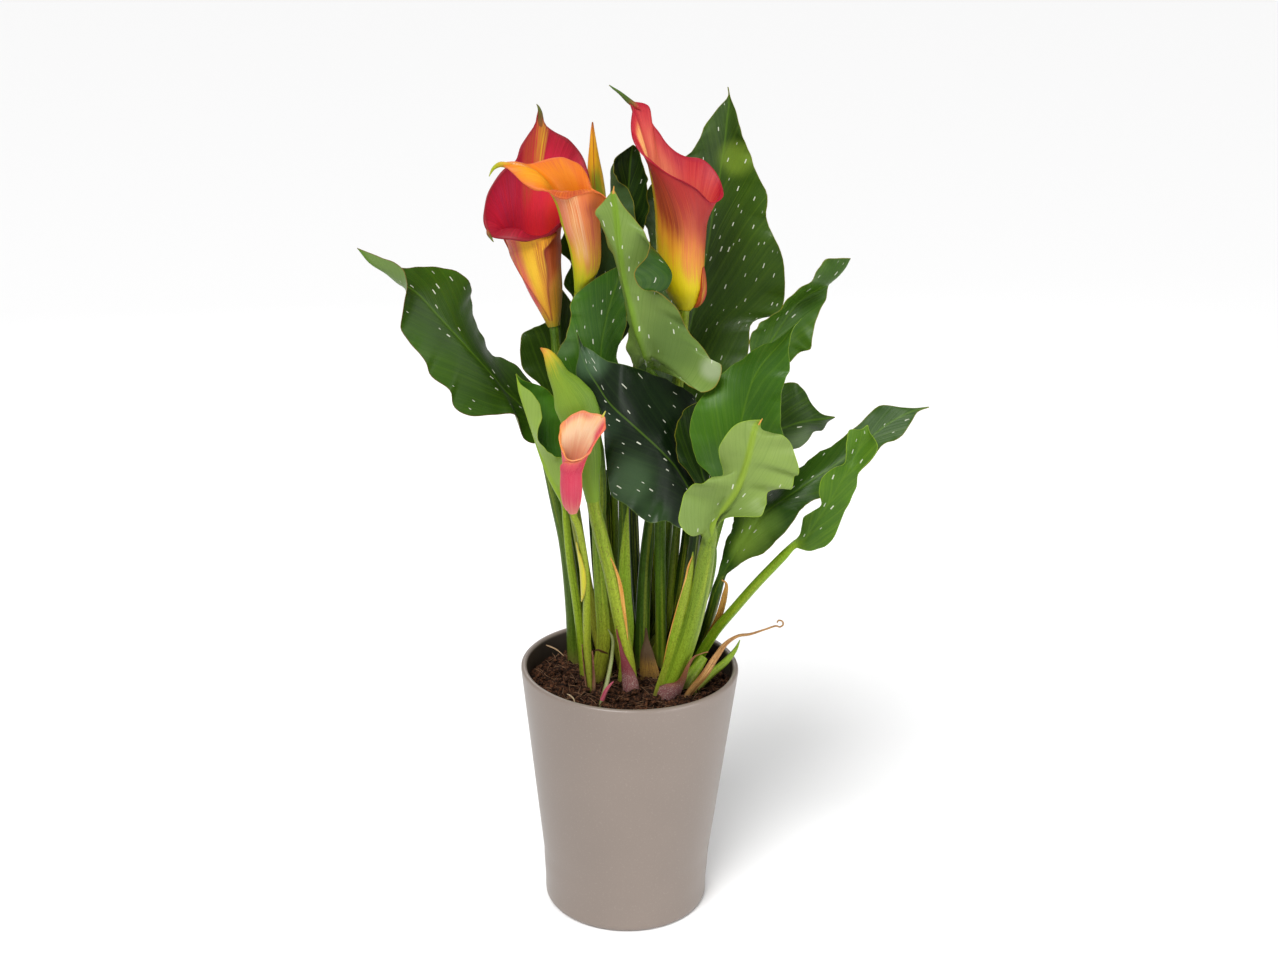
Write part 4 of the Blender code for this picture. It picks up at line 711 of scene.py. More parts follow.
# Each leaf: rows of its net from the stalk to the tip, with photograph column, row and millimetres toward the eye,
# then points of its stalk, its place on the soil, and its radii at the foot and at the blade, in millimetres.
leaves = {}
leaves["farLeftLeaf"] = {
    "node": "leaf_far_left", "ground": (-36, 25), "radius": (5.6, 3.0), "make": {"waveHeight": 0.0007},
    "net": [[(529, 413, -12), (531, 409, -15), (533, 405, -18)], [(536, 443, -4), (524, 407, -10), (541, 397, -22)],
        [(523, 438, 0), (515, 399, -7), (533, 384, -25)], [(514, 415, 4), (505, 390, -5), (517, 366, -27)],
        [(492, 415, 8), (496, 379, -3), (500, 358, -27)], [(470, 416, 10), (486, 368, -1), (490, 352, -24)],
        [(455, 408, 12), (475, 356, 1), (481, 335, -22)], [(449, 390, 13), (465, 345, 3), (475, 318, -20)],
        [(432, 377, 15), (454, 333, 5), (470, 298, -18)], [(424, 360, 17), (443, 321, 8), (472, 286, -15)],
        [(411, 344, 20), (432, 309, 11), (459, 273, -10)], [(400, 327, 23), (421, 297, 14), (440, 267, -4)],
        [(405, 302, 27), (411, 289, 17), (420, 267, 4)], [(407, 280, 32), (400, 284, 20), (407, 268, 10)],
        [(397, 264, 30), (386, 273, 23), (394, 266, 15)], [(380, 257, 28), (370, 263, 25), (377, 259, 20)],
        (357, 248, 27)],
    "stalk": [(538, 425, -15), (546, 455, -16), (556, 500, -18), (566, 545, -20), (573, 610, -23)],
    "looks": {
        "deep": (40, 66, 12), "mid": (58, 94, 16), "vein": (92, 128, 24), "margin": (140, 84, 40), "flecks": 0.42,
        "stalkTop": (84, 112, 34), "stalkFoot": (130, 148, 46), "relief": 0.4}
}
leaves["tallBackRightLeaf"] = {
    "node": "leaf_tall_back_right", "ground": (8, 16), "radius": (5.4, 2.8),
    "net": [[(672, 402, -27.5), (677, 403, -29), (682, 402, -27.5)],
        [(655, 415, -22), (679, 392, -31), (706, 408, -22)], [(636, 395, -18), (682, 372, -33), (735, 385, -20)],
        [(634, 360, -20), (686, 350, -35), (748, 352, -26)], [(640, 325, -22), (690, 328, -37), (753, 322, -34)],
        [(645, 295, -24), (696, 303, -39), (779, 313, -34)], [(650, 268, -24), (702, 275, -41), (785, 290, -34)],
        [(650, 240, -24), (708, 245, -43), (781, 252, -34)], [(641, 212, -22), (713, 212, -44), (767, 221, -38)],
        [(648, 190, -26), (718, 185, -45), (767, 196, -36)], [(672, 168, -32), (722, 160, -45), (754, 166, -40)],
        [(691, 152, -36), (725, 140, -44), (747, 146, -40)], [(704, 128, -38), (727, 120, -43), (740, 128, -40)],
        [(718, 108, -40), (729, 104, -42), (736, 111, -41)], [(728, 96, -41), (729, 96, -41.5), (730.5, 97, -41)],
        (728, 87, -40)],
    "stalk": [(672, 425, -30), (660, 470, -28), (648, 540, -22), (643, 610, -18)],
    "looks": {
        "deep": (42, 66, 15), "mid": (60, 92, 20), "vein": (108, 140, 35), "flecks": 0.85, "stalkTop": (44, 70, 18),
        "stalkMiddle": (60, 100, 34), "stalkFoot": (98, 128, 38),
        "sheenAndPalePatches": [((737, 160, -41), 15, (128, 158, 50), 0.7)]}
}
leaves["centrePaleLeaf"] = {
    "node": "leaf_centre_pale", "slot": "young_leaf", "ground": (20, 19), "radius": (3.8, 3.4),
    "net": [[(653, 368, 9), (650, 364, 7), (645, 361, 5)],
        [(681, 380, 34), (665, 367, 25), (648.5, 359, 12), (642, 362, 9), (636, 368, 6)],
        [(701, 392, 37), (676, 370, 32), (647, 355, 21), (639, 356, 15), (630, 358, 8)],
        [(715, 387, 38), (684, 363, 33), (645.5, 350, 23), (637, 349, 16), (628, 349, 9)],
        [(721, 365, 40), (687, 352, 33), (643, 344, 25), (635, 342, 18), (628, 340, 11)],
        [(708, 356, 35), (679, 341, 32), (640, 336, 27), (633, 334, 20), (628, 330, 13)],
        [(698, 342, 32), (669, 327, 32), (636, 324, 28), (630, 323, 21), (628, 320, 14)],
        [(686, 330, 33), (661, 315, 33), (633, 312, 30), (627.5, 312, 23), (628, 312, 15)],
        [(681, 314, 37), (656, 304, 35), (630, 301, 31), (625, 301, 24), (627, 302, 16)],
        [(667, 297, 40), (652, 294, 36), (627, 290, 33), (622.5, 290, 26), (626, 291, 18)],
        [(643, 290, 46), (667, 288, 35), (624.5, 279, 34), (619.5, 277, 28), (622, 278, 20)],
        [(635, 277, 50), (672, 273, 33), (622, 266, 35), (616.5, 264, 30), (617, 265, 22)],
        [(645, 257, 46), (660, 256, 34), (620, 252, 36), (612.5, 248, 32), (611, 248, 26)],
        [(648, 249, 44), (650, 246, 35.5), (619, 244, 36), (610, 240.5, 33), (606, 238, 28)],
        [(647, 238, 40), (636, 233, 37), (618, 234, 36), (607, 231, 33), (601, 226, 30)],
        [(636, 221, 34), (627, 220, 35), (616.5, 218, 35), (606, 215, 33), (595.5, 212, 31)],
        [(622, 204, 31), (618, 204, 32), (614.5, 203, 33), (609, 203, 32), (603, 202, 31)], (613.5, 190, 32)],
    "stalk": [(653, 378, 2), (660, 410, -3), (661, 460, -5), (660, 540, -9), (661, 610, -14)],
    "looks": {
        "deep": (34, 66, 15), "mid": (48, 88, 19), "under": (130, 156, 76), "underVein": (92, 126, 46),
        "rib": (118, 156, 31), "margin": (176, 132, 30), "flecks": 0.5, "stalkTop": (98, 138, 34),
        "stalkFoot": (124, 146, 42), "relief": 0.35, "veinStrength": 0.14,
        "sheenAndPalePatches": [((674, 345, 33), 30, (80, 108, 46), 0.7), ((712, 370, 38), 10, (176, 190, 150), 0.7)]}
}
leaves["centreLeftLeaf"] = {
    "node": "leaf_centre_left", "ground": (-18, 18), "radius": (4.4, 2.6),
    "net": [[(597, 430, 6), (599, 431, 6), (602, 430, 6)], [(574, 425, 14), (599, 418, 6), (622, 420, -2)],
        [(558, 395, 18), (599, 395, 8), (628, 390, -1)], [(556, 360, 20), (600, 365, 10), (617, 362, 2)],
        [(565, 337, 20), (602, 340, 11), (620, 342, 4)], [(571, 319, 18), (606, 320, 11), (627, 323, 6)],
        [(570, 304, 17), (611, 300, 11), (625, 303, 7)], [(583, 288, 15), (616, 285, 11), (624, 289, 7)],
        [(603, 274, 12), (620, 273, 10), (626, 277, 8)], (628, 262, 8)],
    "stalk": [(600, 450, 4), (602, 490, 0), (599, 550, -8), (600, 610, -14)],
    "looks": {
        "deep": (44, 84, 16), "mid": (66, 112, 26), "vein": (112, 148, 50), "flecks": 0.5,
        "sheenAndPalePatches": [((566, 348, 19), 10, (116, 150, 96), 0.6)]}
}
leaves["frontDarkLeaf"] = {
    "node": "leaf_front_dark", "ground": (30, 10), "radius": (4.2, 3.0),
    "net": [[(693, 504, 29), (697, 500, 28), (700, 496, 27)], [(684, 528, 42), (690, 490, 28), (707, 470, 16)],
        [(665, 521, 47), (683, 478, 30), (706, 447, 10)], [(651, 523, 50), (675, 466, 34), (702, 424, 6)],
        [(640, 517, 51), (666, 456, 37), (696, 404, 4)], [(626, 505, 50), (656, 446, 39), (688, 390, 4)],
        [(612, 496, 49), (646, 437, 39), (676, 384, 2)], [(608, 480, 47), (636, 428, 38), (658, 377, 6)],
        [(606, 462, 44), (626, 419, 38), (641, 369, 18)], [(604, 440, 42), (616, 410, 38), (622, 364, 32)],
        [(602, 415, 40), (607, 400, 37), (606, 360, 33)], [(592, 394, 37), (598, 386, 36), (593, 351, 34)],
        [(576, 374, 35), (588, 370, 36), (584, 346, 35)], [(579, 353, 35), (581, 352, 35.5), (582.5, 344, 36)],
        (577, 332, 36)],
    "stalk": [(698, 512, 25), (694, 545, 17), (686, 600, 4), (680, 640, -4)],
    "looks": {
        "deep": (8, 24, 6), "mid": (18, 40, 10), "vein": (52, 78, 30), "flecks": 0.55, "gloss": 0.20,
        "margin": (96, 124, 40), "relief": 0.25, "veinStrength": 0.20, "stalkTop": (36, 60, 18),
        "stalkFoot": (60, 84, 28),
        "sheenAndPalePatches": [((588, 362, 36), 15, (86, 118, 80), 0.7), ((632, 482, 48), 22, (80, 108, 70), 0.6),
            ((655, 515, 49), 14, (60, 90, 46), 0.5), ((606, 425, 38), 12, (50, 76, 48), 0.4)]}
}
leaves["rightCentreLeaf"] = {
    "node": "leaf_right_centre", "ground": (34, 24), "radius": (4.0, 2.8),
    "net": [[(722, 497, 32), (726, 498, 32), (730, 497, 32)], [(712, 478, 42), (730, 480, 35), (760, 490, 44)],
        [(697, 460, 45), (733, 462, 37), (780, 470, 46)], [(690, 436, 44), (737, 440, 39), (784, 445, 48)],
        [(693, 412, 40), (742, 418, 40), (781, 420, 48)], [(706, 391, 32), (747, 398, 40), (781, 398, 46)],
        [(724, 373, 28), (753, 380, 39), (786, 378, 46)], [(742, 358, 27), (761, 366, 38), (790, 366, 44)],
        [(758, 348, 28), (771, 354, 37), (789, 350, 42)], [(774, 341, 30), (783, 341, 36), (790.5, 336, 39)],
        [(788, 331, 33), (792, 329, 35), (795, 326, 36)], (801, 319, 34)],
    "stalk": [(721, 515, 30), (711, 550, 22), (701, 600, 7), (691, 640, -8)],
    "looks": {
        "deep": (50, 90, 20), "mid": (72, 118, 26), "vein": (110, 150, 38), "flecks": 0.12, "margin": (120, 150, 35)}
}
leaves["frontRightPaleLeaf"] = {
    "node": "leaf_front_right_pale", "slot": "young_leaf", "ground": (24, -20), "radius": (7.2, 4.8),
    "net": [[(717, 529, 71), (710, 534, 70), (702, 533, 71)], [(722, 521, 80), (714, 524, 72), (691, 536, 80)],
        [(737, 516, 84), (720, 514, 74), (679, 522, 84)], [(760, 515, 88), (726, 505, 76), (682, 499, 80)],
        [(766, 506, 82), (732, 496, 78), (688, 490, 82)], [(768, 492, 78), (738, 486, 80), (701, 483, 87)],
        [(791, 490, 84), (742, 477, 81), (712, 478, 84)], [(794, 476, 79), (745, 468, 82), (722, 476, 78)],
        [(799, 472, 83), (748, 458, 83), (720, 460, 78)], [(794, 450, 79), (750, 449, 83), (719, 447, 82)],
        [(784, 436, 82), (752, 440, 83), (725, 436, 84)], [(770, 433, 78), (754, 431, 83), (737, 424, 84)],
        [(761, 428, 80), (756, 425, 81), (748, 420.5, 83)], (761, 420, 82)],
    "stalk": [(707.5, 548, 65), (702, 580, 54), (693, 620, 40), (680, 660, 28)],
    "looks": {
        "deep": (90, 124, 28), "mid": (116, 148, 38), "vein": (150, 174, 52), "rib": (142, 170, 42),
        "under": (142, 166, 84), "margin": (160, 192, 48), "flecks": 0.35, "stalkTop": (120, 150, 44),
        "stalkMiddle": (146, 176, 44), "stalkFoot": (156, 170, 52), "bands": 0.8}
}
leaves["longRightLeaf"] = {
    "node": "leaf_long_right", "ground": (43, 33), "radius": (3.7, 3.4),
    "net": [[(718, 573, 20), (722, 575, 21), (727, 574, 22)], [(724, 550, 14), (736, 552, 22), (745, 561, 30)],
        [(731, 528, 10), (748, 535, 24), (766, 551, 36)], [(738, 513, 8), (760, 518, 28), (784, 533, 38)],
        [(748, 499, 6), (775, 505, 30), (800, 512, 38)], [(768, 485, 6), (793, 493, 28), (808, 503, 34)],
        [(790, 472, 8), (812, 480, 26), (826, 496, 30)], [(812, 458, 10), (832, 467, 24), (850, 480, 24)],
        [(835, 443, 12), (852, 452, 22), (870, 462, 24)], [(857, 426, 14), (870, 438, 20), (884, 444, 24)],
        [(879, 406, 12), (888, 424, 18), (900, 438, 24)], [(900, 407, 14), (906, 414, 17), (912, 421, 20)],
        [(914, 408, 15), (917, 410, 16), (918, 412, 17)], (929, 407, 16)],
    "stalk": [(717, 590, 10), (711, 612, -5), (704, 634, -20)],
    "looks": {
        "deep": (40, 72, 16), "mid": (58, 96, 21), "vein": (100, 134, 33), "flecks": 0.5, "stalkTop": (52, 84, 24),
        "stalkFoot": (60, 92, 28),
        "sheenAndPalePatches": [((752, 530, 26), 20, (128, 164, 58), 0.85), ((740, 548, 24), 16, (134, 168, 60), 0.8),
            ((772, 520, 30), 12, (104, 140, 48), 0.6)]}
}
leaves["smallRightLeaf"] = {
    "node": "leaf_small_right", "slot": "young_leaf", "ground": (42, 18), "radius": (3.4, 2.8),
    "net": [[(793, 542, 38), (796, 544, 38), (797, 548, 38)], [(800, 534, 40), (806, 538, 43), (811, 551, 42)],
        [(803, 518, 42), (814, 525, 47), (828, 544, 46)], [(811, 512, 46), (822, 514, 49), (838, 529, 48)],
        [(821, 505, 49), (829, 503, 51), (844, 513, 50)], [(819, 492, 51), (836, 491, 53), (851, 499, 52)],
        [(822, 478, 53), (842, 480, 55), (857, 486, 53)], [(834, 468, 55), (849, 470, 56), (858, 474, 55)],
        [(844, 463, 56), (853, 461, 54), (864, 467, 56)], [(846, 453, 58), (858, 451, 53), (874, 456, 58)],
        [(847, 442, 59), (863, 441, 53), (878, 446, 58)], [(849, 430, 59), (867, 434, 54), (874, 438, 57)],
        [(861, 429.5, 56), (867, 430, 54), (870, 432.5, 55)], (867.5, 425, 54)],
    "stalk": [(783, 556, 36), (757, 583, 26), (735, 608, 14), (712, 636, -4)],
    "looks": {
        "deep": (64, 104, 20), "mid": (94, 138, 28), "vein": (136, 170, 40), "under": (130, 164, 72), "flecks": 0.5,
        "margin": (150, 180, 40), "stalkTop": (138, 178, 34), "stalkFoot": (166, 196, 40)}
}
leaves["upperRightLeaf"] = {
    "node": "leaf_upper_right", "ground": (14, 50), "radius": (3.6, 2.6),
    "net": [[(751, 361, -11.5), (756, 364, -12), (761, 363, -11.5)],
        [(750, 346, -8), (764, 352, -14), (785, 366, -10)], [(751, 333, -8), (772, 340, -16), (800, 352, -8)],
        [(760, 325, -8), (781, 326, -18), (811, 349, -6)], [(772, 315, -10), (790, 313, -20), (813, 330, -10)],
        [(785, 303, -10), (799, 302, -22), (819, 313, -14)], [(797, 292, -8), (808, 295, -21), (826, 300, -18)],
        [(810, 280, -6), (818, 289, -19), (828, 288, -21)], [(820, 267, -4), (829, 283, -16), (831, 282, -22)],
        [(829, 259, -4), (838, 276, -14), (838, 275, -19)], [(841, 258, -6), (845, 268, -12), (845, 267, -15)],
        (850.5, 258.5, -9)],
    "stalk": [(754, 380, -12), (742, 430, -16), (724, 490, -22), (707, 550, -31), (690, 600, -42)],
    "looks": {"deep": (50, 84, 19), "mid": (68, 108, 24), "vein": (112, 146, 38), "flecks": 0.5}
}
leaves["behindRightLeaf"] = {
    "node": "leaf_behind_right", "ground": (33, 49), "radius": (3.0, 2.2),
    "net": [[(744, 446, 4), (746, 449, 4), (748, 452, 4)], [(752, 415, -4), (758, 440, 0), (762, 462, -2)],
        [(768, 395, -8), (772, 432, -1), (778, 458, -6)], [(782, 384, -10), (786, 427, -2), (795, 450, -8)],
        [(796, 383, -10), (797, 423, -2), (804, 444, -10)], [(804, 389, -10), (806, 421, -3), (812, 432, -12)],
        [(812, 404, -8), (815, 419.5, -4), (822, 431, -10)], [(822, 414, -6), (823, 419, -4), (828, 422, -8)],
        (835, 417, -5)],
    "stalk": [(738, 462, 4), (724, 500, -6), (709, 550, -16), (697, 600, -34)],
    "looks": {
        "deep": (40, 66, 17), "mid": (54, 84, 21), "under": (120, 146, 83), "flecks": 0.3,
        "sheenAndPalePatches": [((772, 452, -4), 14, (112, 136, 88), 0.7), ((800, 440, -8), 14, (112, 136, 88), 0.7)]}
}
leaves["rolledBackLeaf"] = {
    "node": "leaf_rolled_back", "ground": (-4, 31), "radius": (3.4, 2.4),
    "net": [[(608, 346, -13), (612, 347, -14), (616, 346, -13)],
        [(603, 339, -9), (603, 338, -12.5), (612, 337, -15), (619, 337, -13), (624, 338, -11)],
        [(606, 325, -8), (597, 325, -10), (612, 326, -16), (624, 325, -12), (632, 325, -8)],
        [(613, 297, -4), (596, 297, -8), (611, 298, -18), (628, 297, -12), (638, 297, -6)],
        [(622, 268, -2), (596, 269, -8), (612, 271, -19), (630, 270, -14), (640, 270, -8)],
        [(630, 240, 0), (599, 241, -8), (616, 242, -21), (634, 240, -16), (644, 238, -9)],
        [(636, 216, 0), (605, 216, -9), (622, 217, -23), (638, 214, -19), (647, 211, -12)],
        [(629, 192, -4), (610, 196, -12), (627, 196, -24), (640, 191, -22), (648, 186, -17)],
        [(619, 179, -8), (611, 181, -15), (629, 180, -25), (639, 178, -24), (646, 176, -20)],
        [(613, 171, -13), (611.5, 168, -18), (630, 166, -25), (638, 165, -24), (643, 164, -22)],
        [(614, 160, -17), (619, 157, -20), (631, 156, -25), (636, 155, -24), (640, 154, -22)],
        [(624, 151, -20), (628, 149.5, -22), (632, 148.5, -23), (635, 148, -23), (638, 148.5, -22)], (633, 145, -21)],
    "stalk": [(613, 365, -14), (618, 420, -15), (623, 500, -14), (622, 580, -17)],
    "looks": {
        "deep": (24, 44, 14), "mid": (40, 66, 22), "under": (62, 88, 44), "underVein": (48, 72, 34), "flecks": 0.3}
}
leaves["behindLeftLeaf"] = {
    "node": "leaf_behind_left", "ground": (-27, 38), "radius": (3.0, 2.2),
    "net": [[(556, 402, -18), (559, 403, -18), (562, 402, -18)], [(538, 383, -14), (560, 385, -19), (578, 392, -18)],
        [(525, 372, -14), (560, 368, -21), (586, 375, -20)], [(520, 354, -15), (560, 350, -23), (588, 352, -22)],
        [(522, 335, -18), (560, 333, -25), (584, 332, -24)], [(532, 329, -20), (560, 320, -26), (578, 315, -25)],
        [(545, 323, -23), (560, 309, -27), (572, 303, -26)], (562, 290, -28)],
    "stalk": [(562, 425, -20), (567, 480, -26), (574, 550, -34), (583, 610, -38)],
    "looks": {"deep": (36, 58, 12), "mid": (50, 78, 16), "flecks": 0.3}
}
leaves["narrowLeftLeaf"] = {
    "node": "leaf_narrow_left", "slot": "young_leaf", "ground": (-29, 1), "radius": (3.0, 2.2),
    "net": [[(566, 498, 27), (564, 500, 25), (567, 503, 23)], [(567, 464, 32), (554, 483, 26), (572, 480, 20)],
        [(557, 456, 35), (546, 466, 27), (574, 462, 16)], [(545, 450, 37), (539, 448, 29), (572, 445, 14)],
        [(538, 437, 37), (534, 434, 30), (568, 425, 12)], [(541, 418, 37), (528, 417, 30), (562, 408, 14)],
        [(540, 404, 36), (523, 403, 30), (553, 395, 16)], [(532, 393, 34), (519, 391, 30), (541, 386, 20)],
        [(520.5, 384, 31), (517.5, 382, 30), (523, 380, 28)], (516, 374, 30)],
    "stalk": [(566, 520, 24), (570, 560, 18), (576, 600, 11), (581, 640, 4)],
    "looks": {
        "deep": (56, 108, 19), "mid": (78, 134, 24), "under": (156, 184, 84), "underVein": (124, 160, 56),
        "rib": (152, 186, 40), "margin": (160, 180, 40), "flecks": 0.25, "stalkTop": (158, 186, 42),
        "stalkFoot": (172, 176, 56)}
}
leaves["behindBloomsLeaf"] = {
    "node": "leaf_behind_blooms", "ground": (-16, 39), "radius": (3.2, 2.2),
    "net": [[(586, 372, -36), (588, 373, -36), (590, 372, -36)], [(574, 358, -34), (588, 358, -37), (604, 362, -36)],
        [(562, 335, -34), (587, 335, -39), (610, 340, -38)], [(562, 312, -34), (586, 312, -40), (610, 315, -39)],
        [(573, 300, -36), (585, 293, -41), (606, 292, -40)], [(564, 284, -34), (583, 275, -41), (602, 270, -40)],
        [(571, 264, -37), (580, 258, -41), (597, 250, -40)], [(558, 249, -36), (577, 245, -41), (591, 232, -40)],
        [(563, 236, -38), (573, 230, -41), (582, 222, -40)], (570, 216, -41)],
    "stalk": [(590, 395, -36), (594, 460, -36), (599, 540, -37), (604, 605, -38)],
    "looks": {"deep": (50, 88, 18), "mid": (70, 116, 23), "flecks": 0.3}
}
leaves["betweenLeaf"] = {
    "node": "leaf_between", "ground": (25, 38), "radius": (3.0, 2.2),
    "net": [[(709, 505, 25), (712, 506, 25), (715, 505, 25)], [(692, 479, 35), (706, 487, 29), (722, 490, 26)],
        [(678, 458, 38), (700, 465, 30), (720, 466, 25)], [(675, 440, 38), (698, 444, 29), (716, 442, 24)],
        [(679, 420, 36), (697, 424, 27), (714, 420, 22)], [(685, 409, 30), (700, 407, 23), (714, 404, 18)],
        (716, 396, 17)],
    "stalk": [(709, 522, 17), (699, 550, 3), (685, 600, -15), (676, 632, -26)],
    "looks": {"deep": (26, 50, 12), "mid": (40, 70, 17), "flecks": 0.3}
}
for leafName, leaf in leaves.items():
    makeLeaf(leafName, leaf)
print("leaves ready")


stemMake = {"rows": 44, "sides": 24, "ribs": 9, "ribHeight": 0.018}
stemLooks = {
    "roughness": 0.42, "gloss": 0.22, "streaks": 0.4, "streak": (168, 184, 50), "shade": 0.3, "shadow": (62, 88, 26),
    "freckles": 0.15, "freckle": (120, 62, 58), "stain": (104, 78, 52), "bands": 0.75, "bandLight": (186, 200, 60),
}


def tubeShell(path, wide, deep, sides, shape=1.0):
    # closed tube with its own half widths at each point, and the directions along it for its finish
    side, up = sideways(path, np.array([1.0, 0.0, 0.0]))
    cosine, sine = np.cos(turns(sides)), np.sin(turns(sides))
    rings = path[:, None] + (side[:, None] * (cosine * shape * wide[:, None])[..., None]
                             + up[:, None] * (sine * shape * deep[:, None])[..., None])
    flow = np.broadcast_arrays(cosine * wide.max(), sine * wide.max(), -distanceAlong(path)[:, None])
    return {"vertices": rings, "faces": tubeFaces(len(path), sides), "values": {"flow": np.stack(flow, -1)}}


def stemFinish(name, looks):
    # lengthwise streaks and freckles over a run of colours from the soil up
    looks = dict(stemLooks, **looks)
    finish = Finish(name, looks["roughness"], looks["gloss"])
    noise, step, coat, at = finish.noise, finish.step, finish.coat, finish.at
    flow, height = finish.read("flow", "Vector"), finish.split(at)[2]
    low, high, last = looks.get("from", soil["height"]), looks["top"], len(looks["colours"]) - 1
    tone = finish.ramp((height - low) / (high - low) + (noise(at, 60.0, 2.0) - 0.5) * 0.12,
                       [(k / last, colour) for k, colour in enumerate(looks["colours"])])
    streak = noise(finish.stretch(flow, 1500.0, 1500.0, 16.0), 1.0, 3.0)
    tone = coat(tone, looks["streak"], step(streak, 0.40, 0.72) * looks["streaks"])
    dark = noise(finish.stretch(flow, 1100.0, 1100.0, 30.0), 1.3, 2.0)
    tone = coat(tone, looks["shadow"], step(dark, 0.55, 0.75) * looks["shade"])
    distance, chance = finish.cells(finish.stretch(flow, 900.0, 900.0, 420.0), 1.0)
    freckle = step(distance, 0.34, 0.20) * (finish.split(chance)[0] < looks["freckles"])
    tone = mottle(finish, flow, coat(tone, looks["freckle"], freckle * 0.6), looks)
    tone = coat(tone, looks["stain"], step(height, soil["height"] + 0.012, soil["height"]) * 0.55)
    finish.put("Base Color", tone)
    finish.relief(streak * 0.7 + noise(at, 300.0, 2.0), 0.00035, 0.5)
    return finish.material


def makeStem(name, plan, line, topRadius):
    # round stem from inside its bloom or bud, which runs along line, down into the soil
    low = unit(line[3] - line[0])
    start = [line[0] + low * 0.0015, line[0] - low * 0.003]
    path = curve(rooted(np.concatenate([start, seen(plan["stem"])]), plan["ground"]), stemMake["rows"])
    down = distanceAlong(path) / distanceAlong(path)[-1]
    wide = topRadius + (plan["radius"] / 1000 - topRadius) * np.minimum(1, 2 * down)
    ribs = 1 + stemMake["ribHeight"] * np.cos(stemMake["ribs"] * turns(stemMake["sides"]))
    ribs = ribs * (1 + 0.03 * np.sin(down * 23 + plan["radius"]))[:, None]
    shell = tubeShell(path, wide, wide, stemMake["sides"], ribs)
    piece = meshPiece(name, [shell], stemFinish(name + "Skin", plan["stemLooks"]))
    settle(piece, "flower_stem", plan["node"] + "_stem")


bloomMake = {
    "around": 120, "flareRows": 24, "cup": 9, "thick": 0.0010, "thin": 0.00040, "roll": 0.0006, "ripple": 0.0004,
    "rollTurns": (28, 58, 90, 122, 150), "flapRows": 40, "flapColumns": 26, "flapThick": 0.00044,
}
spadixMake = {
    "rows": 70, "sides": 36, "beads": 9, "beadTurns": 60, "beadHeight": 0.07,
    "golden": (200, 140, 20), "pale": (240, 196, 60),
}
petalLooks = {"dim": 0.80, "feather": 0.35, "veins": 0.25, "rimWidth": 0.0014, "rimStrength": 0.7}


def petalFinish(name, looks):
    # colour runs from the foot to the rim; streaks and spots lie lengthwise; the rim has its own line
    looks = dict(petalLooks, **looks)
    finish = Finish(name, 0.46, 0.22, looks["dim"])
    step, coat = finish.step, finish.coat
    cosine, sine, rise = finish.split(finish.read("petal", "Vector"))
    inside, layer, tail, edge = (finish.read(key) for key in ("inside", "layer", "tail", "edge"))

    def streaks(turn, climb, detail, rough=0.5):
        return finish.noise(finish.join(cosine * turn, sine * turn, rise * climb), 1.0, detail, rough)
    fine, broad = streaks(26.0, 2.2, 3.0, 0.6), streaks(5.0, 1.6, 2.0)
    place = rise + (fine - 0.5) * looks["feather"] + (broad - 0.5) * 0.15
    tone = finish.ramp(place, looks["outside"])
    if "flap" in looks:
        tone = finish.mix(layer, tone, finish.ramp(place, looks["flap"]))
    if "inside" in looks:
        tone = finish.mix(inside, tone, finish.ramp(place, looks["inside"]))
    sides = {"inside": inside, "outside": 1.0 - inside, "flap": layer}
    for side, facing, spread, (low, high), colour, strength, streaky, *soft in looks["spots"]:
        aim, spread, soft = math.radians(facing), math.radians(spread), (soft or [0.08])[0]
        mask = step(cosine * math.cos(aim) + sine * math.sin(aim), math.cos(spread), math.cos(spread * 0.35))
        mask = mask * step(rise, low - soft, low + soft) * step(rise, high + soft, high - soft)
        if streaky > 0:
            mask = mask * step(fine, 0.38 - 0.3 * (1 - streaky), 0.62)
        tone = coat(tone, colour, mask * sides[side] * strength)
    tone = coat(tone, looks["vein"], step(abs(streaks(55.0, 2.0, 1.0) - 0.5), 0.035, 0.0) * looks["veins"])
    tone = coat(tone, looks["rim"], step(edge, looks["rimWidth"], 0.0002) * looks["rimStrength"])
    tone = finish.mix(step(tail, 0.02, 0.25), tone, finish.ramp(tail, looks["tail"]))
    finish.put("Base Color", tone)
    finish.relief(fine * 0.8 + finish.noise(finish.at, 700.0, 2.0) * 0.35, 0.0004, 0.5)
    finish.put("Subsurface Weight", 0.12)
    finish.put("Subsurface Radius", (0.004, 0.002, 0.001))
    finish.put("Subsurface Scale", 0.6)
    return finish.material


def pathAndWidths(points, count):
    # from rows of photograph column, row, toward and half widths, the last in millimetres
    points = np.array(points, float)
    return curve(seen(points[:, :3]), count), curve(points[:, 3:] / 1000, count)


